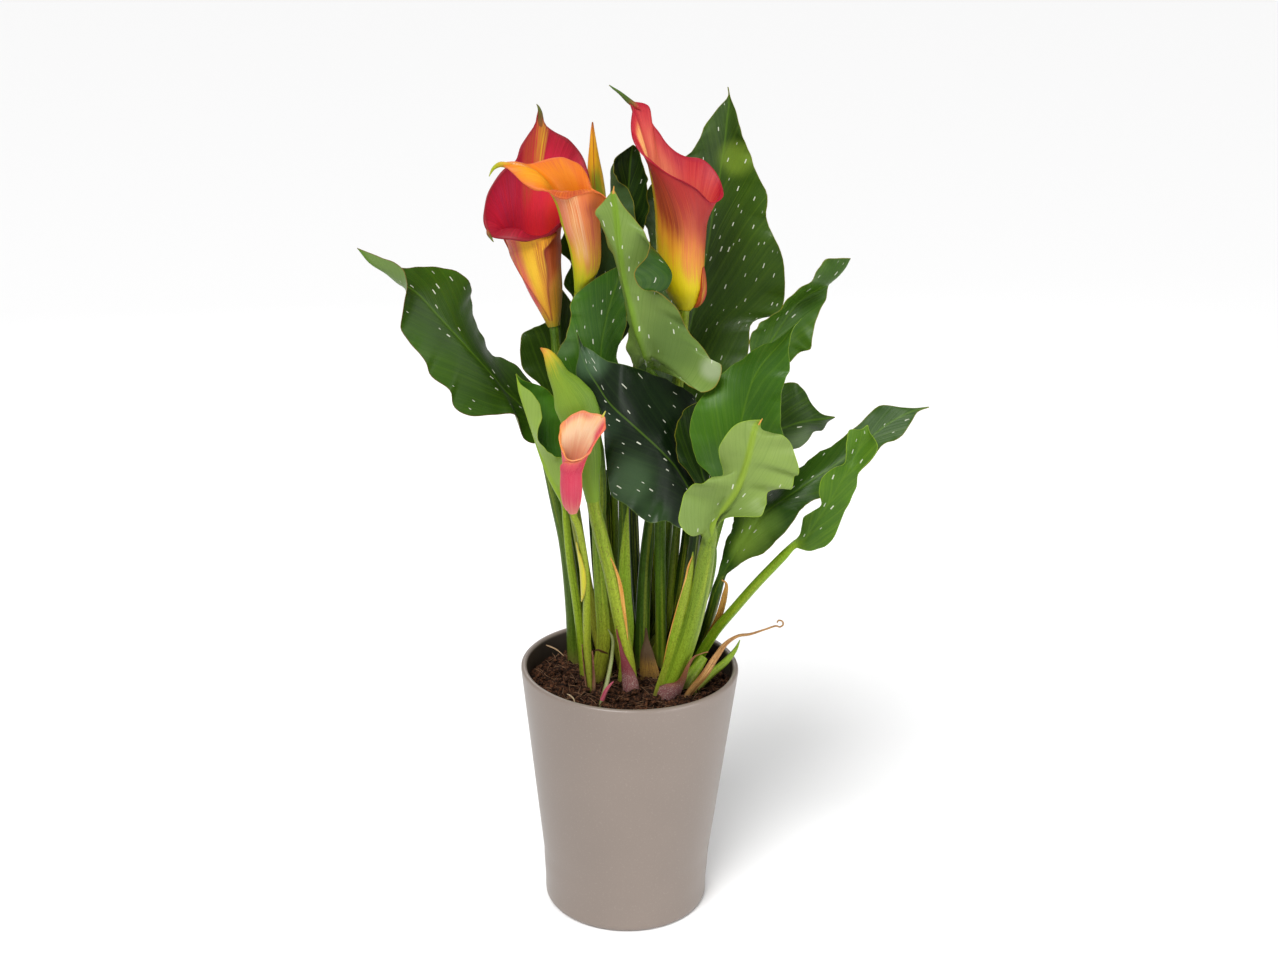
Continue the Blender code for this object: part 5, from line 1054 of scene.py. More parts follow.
def bloomNet(plan):
    # middle surface of the wrapped petal: rows from the foot up the funnel, then out to the rim
    centres, radii = pathAndWidths(plan["axis"], (len(plan["axis"]) - 1) * 5 + 1)
    side, up = sideways(centres, np.array([0.0, 1.0, 0.0]))
    turn = turns(bloomMake["around"])
    funnel = centres[:, None] + (side[:, None] * np.cos(turn)[:, None]
                                 - up[:, None] * np.sin(turn)[:, None]) * radii[:, None]
    # each rim point tells its direction from behind by the right, in degrees
    marks, wholeTurn = np.array(plan["rim"], float), [0, 0, 0, 360]
    marks = np.concatenate([marks[-2:] - wholeTurn, marks, marks[:3] + wholeTurn])
    rim = smoothLine(seen(marks[:, :3]), np.interp(np.degrees(turn), marks[:, 3], np.arange(len(marks))))
    rise = np.interp(np.degrees(turn), *np.array(plan["rise"], float).T)
    # the rim curls outward, least where it turns sharply into a tip
    step = unit(np.roll(rim, -3, 0) - rim)
    bend = np.degrees(np.arccos(np.clip((step * unit(rim - np.roll(rim, 3, 0))).sum(-1), -1, 1)))
    curl = np.clip(1.25 - bend / 55, 0.12, 1)
    curl = (np.roll(curl, 1) + curl + np.roll(curl, -1)) / 3 * bloomMake["roll"] * plan.get("roll", 1.0)
    lift = unit(centres[-1] - centres[-4])
    throat = funnel[-1]
    reach = np.linalg.norm(rim - throat, axis=-1, keepdims=True)
    bendPoint = throat + lift * reach * rise[:, None]
    out = unit(rim - bendPoint)
    rim = rim - out * curl[:, None]
    share = (np.arange(1, bloomMake["flareRows"] + 1) / bloomMake["flareRows"])[:, None, None]
    flare = throat * (1 - share) ** 2 + bendPoint * (2 * share * (1 - share)) + rim * share ** 2
    away = unit(np.cross(unit(np.roll(rim, -1, 0) - np.roll(rim, 1, 0)), out))
    if ((away * (rim - centres[-1])).sum(-1) * reach[:, 0]).sum() - (away * lift).sum() * 0.02 < 0:
        away = -away
    bends = np.radians(bloomMake["rollTurns"])[:, None, None]
    rolled = rim + curl[:, None] * (np.sin(bends) * out + (1 - np.cos(bends)) * away)
    return np.concatenate([funnel, flare, rolled]), centres, radii[:, 0], turn


def petalShell(net, turn):
    # gives the net a thickness, open at the top and closed at the foot
    cup, rows = bloomMake["cup"], len(net)
    normals = sheetNormals(net, closed=True)
    if ((net[cup] - net[cup].mean(0)) * normals[cup]).sum() < 0:
        normals = -normals
    share = np.linspace(0, 1, rows)[:, None, None]
    half = (bloomMake["thick"] + (bloomMake["thin"] - bloomMake["thick"]) * share) / 2

    def both(outer, inner):
        return np.concatenate([outer, inner[cup:][::-1]])
    rings = both(net + normals * half, net - normals * half)
    length = distanceFromStart(net.swapaxes(0, 1)).T
    edge = length[-1 - len(bloomMake["rollTurns"])] - length
    petal = np.stack(np.broadcast_arrays(np.cos(turn), np.sin(turn), length / length[-1]), -1)
    return {"vertices": rings, "faces": tubeFaces(len(rings), len(turn)), "values": {
        "petal": both(petal, petal), "inside": both(0 * length, 0 * length + 1),
        "edge": np.maximum(both(edge, edge), 0), "layer": 0.0, "tail": 0.0,
    }}, normals


def sampleNet(net, row, degrees):
    # points of a closed net at fractional rows and at directions in degrees
    around = net.shape[1]
    column = (degrees / 360 * around) % around
    low, k = np.clip(row, 0, len(net) - 1.001).astype(int), column.astype(int)
    s, t = (row - low)[..., None], (column - k)[..., None]
    n = (k + 1) % around
    return (net[low, k] * (1 - t) + net[low, n] * t) * (1 - s) + (net[low + 1, k] * (1 - t) + net[low + 1, n] * t) * s


def flapShell(net, normals, flap):
    # a part of the petal that laps over the rest: it hugs the funnel and lifts at its free edge
    share, left, right, lift = curve(flap["edges"], bloomMake["flapRows"]).T[..., None]
    t = np.linspace(0, 1, bloomMake["flapColumns"])
    degrees = left + (right - left) * t
    share = share + 0 * t
    row = share * (len(net) - 1 - len(bloomMake["rollTurns"]))
    outward = unit(sampleNet(normals, row, degrees))
    near = np.minimum(t * flap["leftHold"], (1 - t) * flap["rightHold"])
    surface = sampleNet(net, row, degrees) + outward * (0.0004 + lift / 1000 * (1 - near) ** 3)[..., None]
    petal = np.stack([np.cos(np.radians(degrees)), np.sin(np.radians(degrees)), share], -1)
    shell = sheetShell(surface, outward, bloomMake["flapThick"] / 2, petal=petal)
    shell["values"].update(inside=bothSides(0 * share, 0 * share + 1), layer=1.0, tail=0.0)
    return shell


def tailShell(points, sides=12):
    # pointed green end of a petal: column, row, toward and radius in millimetres
    path, wide = pathAndWidths(points, 6 * len(points))
    wide = np.maximum(wide[:, 0], 0.00012)
    shell = tubeShell(path, wide, wide * 0.62, sides)
    shell["values"] = {"petal": np.tile([1.0, 0.0, 1.0], (len(path) * sides, 1)), "inside": 0.0, "edge": 0.01,
                       "layer": 0.0, "tail": np.repeat(np.linspace(0, 0.9, len(path)), sides)}
    return shell


def makeSpadix(name, node, low, top, lift, radius):
    # golden spike set with close beads in crossing spirals
    path = curve([low, low + (top - low) * 0.35, low + (top - low) * 0.7, top, top + lift * 0.004], spadixMake["rows"])
    share = np.linspace(0, 1, spadixMake["rows"])
    wide = radius * np.interp(share, [0, 0.2, 0.5, 0.75, 0.93, 1.0], [0.7, 0.85, 1.0, 0.75, 0.4, 0.08])
    angle, turned = spadixMake["beads"] * turns(spadixMake["sides"]), share[:, None] * spadixMake["beadTurns"]
    beads = 1 + spadixMake["beadHeight"] * np.cos(angle + turned) * np.cos(angle - turned)
    finish = Finish(name + "Skin", 0.7)
    finish.put("Base Color", finish.coat(finish.paint(spadixMake["golden"]), spadixMake["pale"],
                                         finish.noise(finish.at, 900.0, 2.0)))
    finish.relief(finish.cells(finish.at, 1400.0)[0], 0.0003, 0.8)
    shell = tubeShell(path, wide, wide, spadixMake["sides"], beads)
    settle(meshPiece(name, [shell], finish.material), "spadix", node)


def makeBloom(name, plan):
    net, centres, radii, turn = bloomNet(plan)
    ripple = np.zeros((len(net), 1))
    ripple[-16:, 0] = np.linspace(0, 1, 16) ** 2
    wave = np.sin(turn * 7 + plan["radius"]) + 0.6 * np.sin(turn * 12 + 1.3)
    net = net + sheetNormals(net, closed=True) * (ripple * wave * bloomMake["ripple"])[..., None]
    main, normals = petalShell(net, turn)
    parts = [main] + [flapShell(net, normals, flap) for flap in plan.get("flaps", [])]
    parts += [tailShell(tail) for tail in plan["tails"]]
    piece = meshPiece(name, parts, petalFinish(name + "Skin", plan["looks"]), sharp=60)
    settle(piece, plan["slot"], plan["node"])
    makeStem(name + "Stem", plan, centres, radii[0] * 0.97)
    low, lift = unit(centres[3] - centres[0]), unit(centres[-1] - centres[-4])
    makeSpadix(name + "Spadix", plan["node"] + "_spadix", centres[bloomMake["cup"]] - low * 0.001, centres[-1], lift,
               plan["spadix"] / 1000)


def makeBud(name, plan, rows=64, sides=64):
    # closed roll with the edge of its wrap standing a little proud, and its stem
    path, widths = pathAndWidths(plan["roll"][::-1], rows)
    share, angle = np.linspace(0, 1, rows)[:, None], turns(sides)
    edge = math.radians(plan["edgeAt"]) + math.radians(plan["edgeTurn"]) * share
    past = ((angle - edge) / (2 * math.pi)) % 1.0
    swell = 1 + plan["lap"] * (0.5 - past) + 0.012 * np.cos(5 * angle)
    shell = tubeShell(path, widths[:, 0], widths[:, 1], sides, swell)
    # the frame's side direction is to the right, so turns are told from behind by the right as for a bloom
    petal = np.stack(np.broadcast_arrays(np.sin(angle), np.cos(angle), share), -1)
    shell["values"] = {"petal": petal, "inside": 0.0, "layer": 0.0, "tail": 0.0,
                       "edge": np.minimum(past, 1 - past) * 2 * math.pi * widths[:, :1]}
    piece = meshPiece(name, [shell], petalFinish(name + "Skin", plan["looks"]), sharp=40)
    settle(piece, plan["slot"], plan["node"])
    makeStem(name + "Stem", plan, path, widths[0].min() * 0.97)


# Each bloom: its axis from the foot up with radii, its rim with directions, and how soon the flare rises there.
# Colours run from the foot, 0, to the rim, 1. A spot: its side, direction, spread, rises, colour, strength and
# streakiness, and how soft its ends are.
blooms = {}
blooms["redBloom"] = {
    "node": "bloom_red", "slot": "petal_red",
    "axis": [(554, 326, -6, 3.2), (551, 311, -7, 6.0), (546, 290, -8, 9.8), (540, 266, -9, 12.6),
        (537, 250, -10, 14.6)],
    "rim": [(538.5, 108, -26, 0), (543, 119, -26, 4), (546, 125, -26.5, 8), (551, 129, -27, 13), (560, 135, -27, 24),
        (569, 141, -26.5, 36), (579, 151, -25.5, 52), (586, 165, -23, 68), (589, 182, -19, 86), (581, 206, -9, 112),
        (563, 222, -1, 138), (551, 233, 4, 152), (539, 238, 8, 168), (527, 240, 11, 181), (513, 239, 12, 195),
        (500, 238, 11, 209), (490, 236, 8, 222), (486, 226, 3, 236), (484.5, 212, -3, 252), (487, 197, -9, 268),
        (494, 183, -14, 284), (505, 170, -18, 302), (516, 160, -21, 318), (523, 145, -24, 334), (529, 135, -25, 345),
        (535, 126, -26, 352), (537.5, 118, -26, 356)],
    "rise": [(0, 0.45), (125, 0.5), (150, 0.9), (170, 1.3), (195, 1.5), (215, 1.2), (235, 0.7), (260, 0.45),
        (360, 0.45)],
    "stem": [(556, 345, -7), (560, 400, -5), (570, 480, -3), (583, 560, -5), (596, 630, -8)], "ground": (-14, 4),
    "radius": 3.4, "spadix": 4.0,
    "tails": [[(541, 134, -28, 0.4), (541, 126, -27.2, 2.0), (540.5, 118, -26.6, 1.8), (540, 112, -26.3, 1.3),
        (538.5, 107, -26, 0.7), (536.5, 104, -26, 0.2)],
        [(487, 228, 6, 0.3), (488.5, 234, 8, 1.1), (491, 238, 9, 0.8), (493.5, 242, 10, 0.25)]],
    "flaps": [{"edges": [(0.05, 200, 176, 0.1), (0.2, 216, 170, 0.6), (0.33, 240, 158, 1.2), (0.45, 260, 160, 1.4),
        (0.55, 272, 146, 1.8), (0.68, 276, 132, 2.2), (0.80, 270, 140, 0.6)], "leftHold": 1.6, "rightHold": 1.0},
        {"edges": [(0.44, 282, 262, 0.2), (0.54, 300, 264, 1.8), (0.64, 304, 266, 2.8), (0.74, 298, 268, 2.2),
        (0.82, 284, 270, 0.3)], "leftHold": 1.0, "rightHold": 5.0}],
    "looks": {
        "inside": [(0.0, (196, 120, 40)), (0.30, (234, 76, 42)), (0.45, (230, 42, 56)), (0.80, (216, 36, 66)),
            (1.0, (160, 14, 42))],
        "outside": [(0.0, (150, 140, 30)), (0.14, (226, 160, 40)), (0.45, (216, 120, 50)), (0.75, (180, 60, 36)),
            (1.0, (150, 30, 40))],
        "flap": [(0.0, (150, 130, 30)), (0.12, (236, 160, 40)), (0.35, (250, 196, 50)), (0.6, (250, 176, 40)),
            (0.8, (236, 140, 34)), (1.0, (206, 80, 40))],
        "spots": [("inside", 5, 8, (0.74, 0.98), (232, 196, 44), 0.95, 0.9),
            ("inside", 350, 22, (0.66, 1.0), (190, 80, 40), 0.8, 0.5),
            ("inside", 40, 24, (0.25, 0.70), (222, 60, 34), 0.7, 0.4),
            # pale pink on the inside at the right, where light strikes: a painted highlight
            ("inside", 112, 46, (0.40, 0.92), (244, 142, 128), 0.95, 0.3),
            ("inside", 300, 40, (0.40, 0.95), (196, 50, 90), 0.6, 0.7),
            ("inside", 195, 60, (0.75, 1.0), (140, 10, 32), 0.8, 0.1),
            # dark brown on the outside at the right of the funnel: painted shade
            ("outside", 118, 50, (0.45, 0.98), (150, 66, 26), 0.85, 0.3),
            ("outside", 120, 55, (0.05, 0.45), (150, 130, 40), 0.7, 0.3),
            ("outside", 245, 42, (0.16, 0.72), (232, 70, 100), 0.95, 0.2),
            ("flap", 165, 24, (0.1, 0.6), (170, 70, 36), 0.7, 0.9),
            ("flap", 292, 28, (0.3, 0.9), (196, 34, 70), 0.95, 0.0)],
        "vein": (140, 44, 26), "veins": 0.32, "rim": (130, 26, 36), "rimStrength": 0.6, "feather": 0.26,
        "tail": [(0.0, (170, 90, 40)), (0.4, (110, 80, 34)), (0.6, (90, 96, 34)), (1.0, (104, 110, 50))]},
    "stemLooks": {
        "top": 0.40, "colours": [(160, 156, 54), (150, 156, 42), (114, 140, 32), (56, 104, 24)], "freckles": 0.1}
}
blooms["orangeBloom"] = {
    "node": "bloom_orange", "slot": "petal_orange",
    "axis": [(580, 291, 4, 3.0), (583.5, 278, 6, 5.6), (586, 262, 9, 8.1), (584.5, 242, 12, 9.3),
        (580, 218, 15, 11.2)],
    "rim": [(564, 158, 6, 0), (576, 162, 3, 22), (584, 170, 2, 40), (588.5, 178, 3, 55), (590, 186, 6, 68),
        (600, 193, 11, 84), (607, 199, 16, 100), (603, 195, 21, 118), (595.5, 191.5, 25, 132), (587, 193, 28, 148),
        (578, 196, 30, 162), (567, 199, 31, 178), (556, 197, 30, 196), (548, 192, 28.5, 214), (543, 190, 27.5, 228),
        (531, 187, 26, 246), (521, 181.5, 25.5, 258), (513, 173, 25, 269), (506, 167, 23, 277), (501, 163.5, 19, 285),
        (514, 162, 15, 300), (527, 163.5, 12, 315), (539, 162, 10, 330), (553, 158.5, 8, 346)],
    "rise": [(0, 0.35), (80, 0.4), (120, 0.9), (150, 1.5), (180, 1.7), (205, 1.3), (225, 0.9), (270, 0.9), (300, 0.6),
        (340, 0.35), (360, 0.35)],
    "stem": [(581, 305, 0), (584, 350, -10), (592, 430, -22), (604, 540, -26), (612, 620, -22)], "ground": (-5, 16),
    "radius": 3.2, "spadix": 3.0,
    "tails": [[(518, 167, 19, 0.4), (508, 165.5, 20, 2.4), (500, 164.5, 20, 2.1), (493.5, 168.5, 20.5, 1.3),
        (489, 176.5, 21, 0.25)]],
    "looks": {
        "inside": [(0.0, (190, 100, 20)), (0.30, (206, 84, 24)), (0.55, (236, 124, 18)), (0.9, (242, 140, 24)),
            (1.0, (230, 120, 44))],
        "outside": [(0.0, (140, 170, 20)), (0.16, (204, 200, 24)), (0.32, (230, 184, 50)), (0.55, (226, 140, 70)),
            (0.80, (222, 120, 64)), (1.0, (226, 116, 44))],
        "spots": [("outside", 150, 40, (0.25, 0.85), (200, 86, 76), 0.7, 0.9),
            ("outside", 185, 32, (0.35, 0.95), (244, 206, 150), 0.6, 0.9),
            ("outside", 222, 30, (0.5, 1.0), (238, 150, 130), 0.6, 0.7),
            ("outside", 240, 12, (-0.1, 0.86), (178, 200, 24), 0.95, 0.0),
            ("outside", 282, 30, (0.7, 1.1), (220, 170, 40), 0.8, 0.3),
            ("inside", 180, 56, (0.70, 1.1), (178, 56, 30), 0.8, 0.2),
            ("inside", 40, 40, (0.45, 0.95), (222, 90, 30), 0.7, 0.7),
            ("inside", 275, 26, (0.45, 0.96), (240, 170, 30), 0.7, 0.5)],
        "vein": (206, 80, 36), "veins": 0.30, "rim": (222, 110, 60), "rimWidth": 0.0008, "rimStrength": 0.5,
        "tail": [(0.0, (236, 140, 30)), (0.35, (206, 160, 30)), (0.6, (170, 176, 30)), (1.0, (160, 176, 40))]},
    "stemLooks": {"top": 0.42, "colours": [(152, 156, 50), (140, 152, 38), (136, 156, 32), (160, 176, 28)]}
}
blooms["coralBloom"] = {
    "node": "bloom_coral", "slot": "petal_coral",
    "axis": [(684, 309, 2, 3.6), (685, 300, 2, 7.5), (684, 286, 3, 11.4), (681, 260, 4, 13.6), (681, 230, 5, 14.6)],
    "rim": [(670, 147, -8, 0), (688, 157, -12, 22), (705, 161, -12, 45), (719, 178, -6, 68), (721, 195, 4, 90),
        (711, 202, 13, 112), (695, 188, 20, 135), (675, 177, 22, 158), (655, 164, 21, 180), (640, 149, 16, 202),
        (631, 128, 10, 225), (634, 108, 6, 248), (630, 103, 4, 262), (636, 102, 2, 278), (648, 106, 0, 292),
        (652, 121, -2, 315), (660, 134, -5, 338)],
    "rise": [(0, 0.4), (360, 0.4)],
    "stem": [(683, 322, 0), (679, 370, -8), (673, 440, -20), (667, 540, -28), (663, 610, -30)], "ground": (19.6, 32.5),
    "radius": 3.4, "spadix": 4.0,
    "tails": [[(641, 110, 2.5, 0.3), (635, 105.5, 3, 1.7), (629, 101, 3.5, 1.6), (620, 93, 4, 1.0), (613, 88, 4, 0.6),
        (609, 85, 4, 0.25)]],
    "flaps": [{"edges": [(0.05, 102, 112, 0.4), (0.10, 92, 124, 2.6), (0.16, 88, 130, 3.2), (0.23, 92, 128, 1.6),
        (0.31, 104, 116, 0.1)], "leftHold": 1.0, "rightHold": 6.0}],
    "looks": {
        "inside": [(0.0, (206, 100, 30)), (0.4, (220, 100, 54)), (0.66, (222, 104, 78)), (0.86, (206, 64, 62)),
            (1.0, (176, 24, 44))],
        "outside": [(0.0, (206, 196, 10)), (0.24, (226, 204, 16)), (0.42, (224, 156, 40)), (0.58, (184, 84, 36)),
            (0.80, (176, 48, 36)), (1.0, (180, 24, 40))],
        "spots": [("outside", 196, 42, (0.50, 0.90), (128, 48, 22), 0.9, 0.45),
            ("outside", 145, 44, (0.28, 0.70), (228, 124, 72), 0.7, 0.6),
            ("outside", 145, 50, (0.60, 1.08), (160, 44, 38), 0.85, 0.35),
            ("outside", 262, 22, (0.02, 0.92), (190, 200, 30), 0.8, 0.1),
            ("flap", 100, 30, (0.10, 0.45), (190, 24, 50), 0.95, 0.2, 0.03),
            ("inside", 320, 60, (0.45, 0.86), (240, 140, 90), 0.6, 0.8),
            ("inside", 236, 9, (0.78, 0.93), (248, 186, 110), 0.95, 0.2, 0.03)],
        "vein": (170, 50, 36), "veins": 0.32, "rim": (164, 14, 42), "rimWidth": 0.0026, "rimStrength": 0.7,
        "tail": [(0.0, (200, 60, 60)), (0.25, (130, 90, 40)), (0.4, (70, 92, 30)), (0.85, (80, 110, 40)),
            (1.0, (170, 150, 110))]},
    "stemLooks": {"top": 0.40, "colours": [(84, 110, 22), (74, 107, 20), (88, 129, 20), (132, 155, 20)]}
}
blooms["smallBloom"] = {
    "node": "bloom_small", "slot": "petal_small",
    "axis": [(573, 512, 65, 2.2), (572, 503, 66, 4.4), (572, 488, 68, 5.4), (572, 472, 69, 5.0)],
    "rim": [(583, 411.5, 64, 0), (595, 414, 65, 30), (604, 417, 67, 60), (604, 427, 72, 90), (595, 441, 75, 120),
        (588, 453, 77, 150), (578, 459, 78, 180), (570, 460, 77, 210), (564, 452, 73, 240), (560, 437, 68, 270),
        (562, 425, 65, 300), (570, 416, 64, 330)],
    "rise": [(0, 0.3), (360, 0.3)], "stem": [(577, 524, 63), (582, 545, 58), (586, 580, 47), (587, 640, 28)],
    "ground": (-24.5, -15), "radius": 2.4, "spadix": 1.6, "roll": 0.7,
    "tails": [[(602, 418, 66.5, 0.8), (603.5, 415, 67, 0.6), (605.5, 411, 67, 0.25)]],
    "flaps": [{"edges": [(0.06, 240, 120, 0.3), (0.25, 262, 120, 0.9), (0.5, 258, 120, 1.3), (0.75, 240, 115, 0.8),
        (0.95, 215, 110, 0.4)], "leftHold": 1.0, "rightHold": 3.0}],
    "looks": {
        "inside": [(0.0, (200, 90, 60)), (0.40, (216, 110, 84)), (0.60, (232, 160, 120)), (0.82, (244, 206, 164)),
            (1.0, (240, 186, 130))],
        "outside": [(0.0, (226, 140, 120)), (0.20, (206, 60, 86)), (0.55, (200, 44, 76)), (0.85, (222, 80, 90)),
            (1.0, (232, 120, 80))],
        "spots": [("inside", 262, 70, (0.90, 1.2), (236, 140, 40), 0.9, 0.1, 0.05),
            ("inside", 350, 60, (0.93, 1.2), (214, 110, 90), 0.8, 0.1, 0.04),
            ("inside", 112, 64, (0.80, 1.3), (214, 50, 84), 0.95, 0.0, 0.06),
            ("inside", 190, 50, (0.35, 0.75), (226, 120, 60), 0.6, 0.8)],
        "vein": (240, 150, 150), "veins": 0.35, "rim": (230, 130, 60), "rimWidth": 0.0005, "rimStrength": 0.5,
        "tail": [(0.0, (210, 190, 60)), (1.0, (190, 190, 90))]},
    "stemLooks": {"top": 0.26, "colours": [(184, 190, 76), (174, 186, 60), (158, 178, 42), (158, 176, 44)]}
}
buds = {}
buds["orangeBud"] = {
    "node": "bud_orange", "slot": "bud_orange",
    "roll": [(592.5, 122, -34, 0.4, 0.4), (592.5, 132, -34, 1.3, 1.2), (593, 146, -34, 2.4, 2.2),
        (593.5, 160, -34, 3.6, 3.2), (595, 178, -34, 4.9, 4.2), (597, 196, -34, 5.2, 4.6), (598, 214, -34, 4.4, 4.2),
        (599, 230, -33, 3.2, 3.2)],
    "stem": [(600, 242, -32), (606, 300, -30), (612, 400, -31), (615, 540, -33), (616, 610, -36)], "ground": (-7, 47),
    "radius": 2.4, "edgeAt": 250, "edgeTurn": 40, "lap": 0.16,
    "looks": {
        "outside": [(0.0, (110, 156, 34)), (0.25, (190, 178, 30)), (0.4, (250, 190, 34)), (0.8, (250, 180, 30)),
            (0.95, (206, 110, 30)), (1.0, (120, 90, 60))],
        "spots": [("outside", 250, 50, (0.2, 0.9), (216, 130, 36), 0.6, 0.5),
            ("outside", 170, 44, (-0.2, 0.50), (100, 146, 36), 0.95, 0.1)],
        "vein": (200, 120, 40), "veins": 0.3, "rim": (170, 84, 30), "rimWidth": 0.0005, "rimStrength": 0.7,
        "tail": [(0.0, (120, 90, 60)), (1.0, (120, 100, 90))]},
    "stemLooks": {"top": 0.45, "colours": [(97, 120, 30), (97, 126, 25), (106, 134, 25), (123, 143, 22)]}
}
buds["greenBud"] = {
    "node": "bud_green", "slot": "bud_green",
    "roll": [(540.5, 348, 48, 0.4, 0.4), (547, 353, 49, 2.6, 2.0), (553, 363, 50, 4.6, 3.2), (559, 376, 50, 6.2, 4.2),
        (568, 389, 50, 9.6, 5.2), (575, 403, 50, 12.2, 5.8), (581, 420, 50, 11.6, 6.0), (584, 440, 50, 9.4, 6.0),
        (587, 460, 50, 8.2, 5.6), (590, 480, 49, 5.6, 4.8), (593, 500, 48, 4.2, 4.2)],
    "stem": [(595, 512, 47), (602, 540, 43), (612, 580, 37), (622, 630, 29)], "ground": (1.5, -18), "radius": 4.4,
    "edgeAt": 200, "edgeTurn": -10, "lap": 0.07,
    "looks": {
        "dim": 0.66,
        "outside": [(0.0, (130, 168, 40)), (0.40, (122, 158, 46)), (0.74, (134, 162, 40)), (0.84, (200, 186, 40)),
            (0.93, (240, 180, 60)), (1.0, (200, 96, 40))],
        "spots": [("outside", 120, 60, (0.1, 0.8), (86, 124, 36), 0.6, 0.5)], "vein": (176, 200, 80), "veins": 0.4,
        "rim": (190, 200, 60), "rimWidth": 0.0006, "rimStrength": 0.7,
        "tail": [(0.0, (200, 120, 60)), (1.0, (150, 80, 50))]},
    "stemLooks": {
        "top": 0.27, "colours": [(166, 174, 66), (164, 178, 50), (158, 180, 40), (146, 172, 38)], "freckles": 0.45,
        "bands": 0.45}
}
for bloomName, bloom in blooms.items():
    makeBloom(bloomName, bloom)
for budName, bud in buds.items():
    makeBud(budName, bud)
print("blooms and buds ready")


sheathLooks = {"roughness": 0.62, "specks": 0.5, "stain": (70, 48, 36)}


def sheathFinish(name, looks):
    # thin skin: speckled, streaked lengthwise, dry along its edges
    looks = dict(sheathLooks, **looks)
    finish = Finish(name, looks["roughness"])
    step, coat, height = finish.step, finish.coat, finish.split(finish.at)[2]
    streak = finish.noise(finish.stretch(finish.read("flow", "Vector"), 1600.0, 1600.0, 60.0), 1.0, 3.0)
    tone = coat(finish.paint(looks["first"]), looks["second"], step(streak, 0.35, 0.7))
    speck = finish.noise(finish.at, 1300.0, 1.0)
    tone = coat(tone, looks["speck"], step(speck, 0.56, 0.66) * looks["specks"])
    tone = coat(tone, looks["dry"], step(finish.read("edge"), 0.0010, 0.0001) * 0.8)
    if "tip" in looks:
        tone = coat(tone, looks["tip"], step(height, looks["tipFrom"] - 0.010, looks["tipFrom"]) * 0.8)
    tone = coat(tone, looks["stain"], step(height, soil["height"] + 0.010, soil["height"]) * 0.5)
    finish.put("Base Color", tone)
    finish.relief(streak + speck * 0.4, 0.0005, 0.8)
    return finish.material


def atHeight(path, height):
    # point of a path that runs down from the top
    for above, below in zip(path, path[1:]):
        if above[2] >= height >= below[2]:
            return below + (above - below) * ((height - below[2]) / (above[2] - below[2]))
    return path[0]


def makeWrap(name, plan, columns=17, perTurn=7):
    # hugs one side of a stem and ends in a point; its turns hold height, direction and half width in degrees
    centres = np.array([atHeight(plan["around"], height / 1000) for height, facing, half in plan["turns"]])
    side, up = sideways(centres, np.array([1.0, 0.0, 0.0]))
    share = np.linspace(-1, 1, columns)
    rows = []
    for centre, right, back, (height, facing, half) in zip(centres, side, up, plan["turns"]):
        angle = np.radians(facing + half * share)[:, None]
        rows.append(centre + (right * np.sin(angle) - back * np.cos(angle)) * (plan["reach"] / 1000))
    for station in plan.get("tip", []):
        across = unit(rows[-1][-1] - rows[-1][0])
        wide = 0.0006 if station is plan["tip"][-1] else 0.0024
        rows.append(seen(station) + across * share[:, None] * wide / 2)
    rows = curve(rows, (len(rows) - 1) * perTurn + 1)
    dice = np.random.RandomState(len(name))
    normals, rise = sheetNormals(rows), np.linspace(0, 1, len(rows))[:, None]
    crinkle = dice.uniform(-1, 1, rows.shape[:2]) * 0.00008 + 0.00025 * np.abs(share) ** 6 * np.sin(rise * 31)
    rows = rows + normals * (crinkle * rise)[..., None]
    across = distanceFromStart(rows)
    flow = np.stack([across, across * 0, across * 0 + distanceAlong(rows[:, columns // 2])[:, None]], -1)
    shell = sheetShell(rows, normals, 0.00018, flow=flow)
    piece = meshPiece(name, [shell], sheathFinish(name + "Skin", plan["looks"]))
    settle(piece, plan["slot"], plan["node"])


def makeRoll(name, plan, sides=28, perPoint=7):
    # narrow shoot or dry sheath that stands in the soil, with lengthwise creases
    points = np.array(plan["roll"], float)
    controls, widths = seen(points[:, :3]), points[:, 3:] / 1000
    if "ground" in plan:
        controls = rooted(controls, plan["ground"], 0.012, 1)
        widths = np.concatenate([widths, [np.array(plan["foot"]) / 1000] * 2])
    count = perPoint * len(controls)
    path, widths = curve(controls, count), curve(widths, count)
    angle, twist = turns(sides), plan.get("twist", 0.0) * 6.3 * np.linspace(0, 1, count)[:, None]
    crease = 1 + plan.get("crease", 0.06) * (np.sin(3 * angle + twist) + 0.5 * np.sin(7 * angle - twist))
    shell = tubeShell(path, widths[:, 0], widths[:, 1], sides, crease)
    shell["values"]["edge"] = 0.01
    skin = stemFinish if "colours" in plan["looks"] else sheathFinish
    piece = meshPiece(name, [shell], skin(name + "Skin", plan["looks"]))
    settle(piece, plan.get("slot", "shoot"), *([plan["node"]] if "node" in plan else []))


purple = {"first": (152, 88, 92), "second": (182, 130, 120), "speck": (228, 202, 192), "dry": (104, 60, 40),
    "specks": 0.7, "tip": (138, 34, 52), "tipFrom": 0.176}
pink = {"first": (190, 112, 100), "second": (196, 168, 110), "speck": (214, 180, 150), "dry": (140, 84, 60)}
dry = {"first": (224, 146, 46), "second": (242, 192, 96), "speck": (150, 84, 34), "dry": (130, 70, 34), "specks": 0.35}
green = {"from": 0.150, "top": 0.185, "colours": [(150, 166, 60), (148, 184, 48), (152, 192, 44)], "freckles": 0.1}
greenBudPath, smallBloomPath, frontPalePath = (
    curve(rooted(seen(plan[line]), plan["ground"]), 60) for plan, line in
    ((buds["greenBud"], "stem"), (blooms["smallBloom"], "stem"), (leaves["frontRightPaleLeaf"], "stalk")))

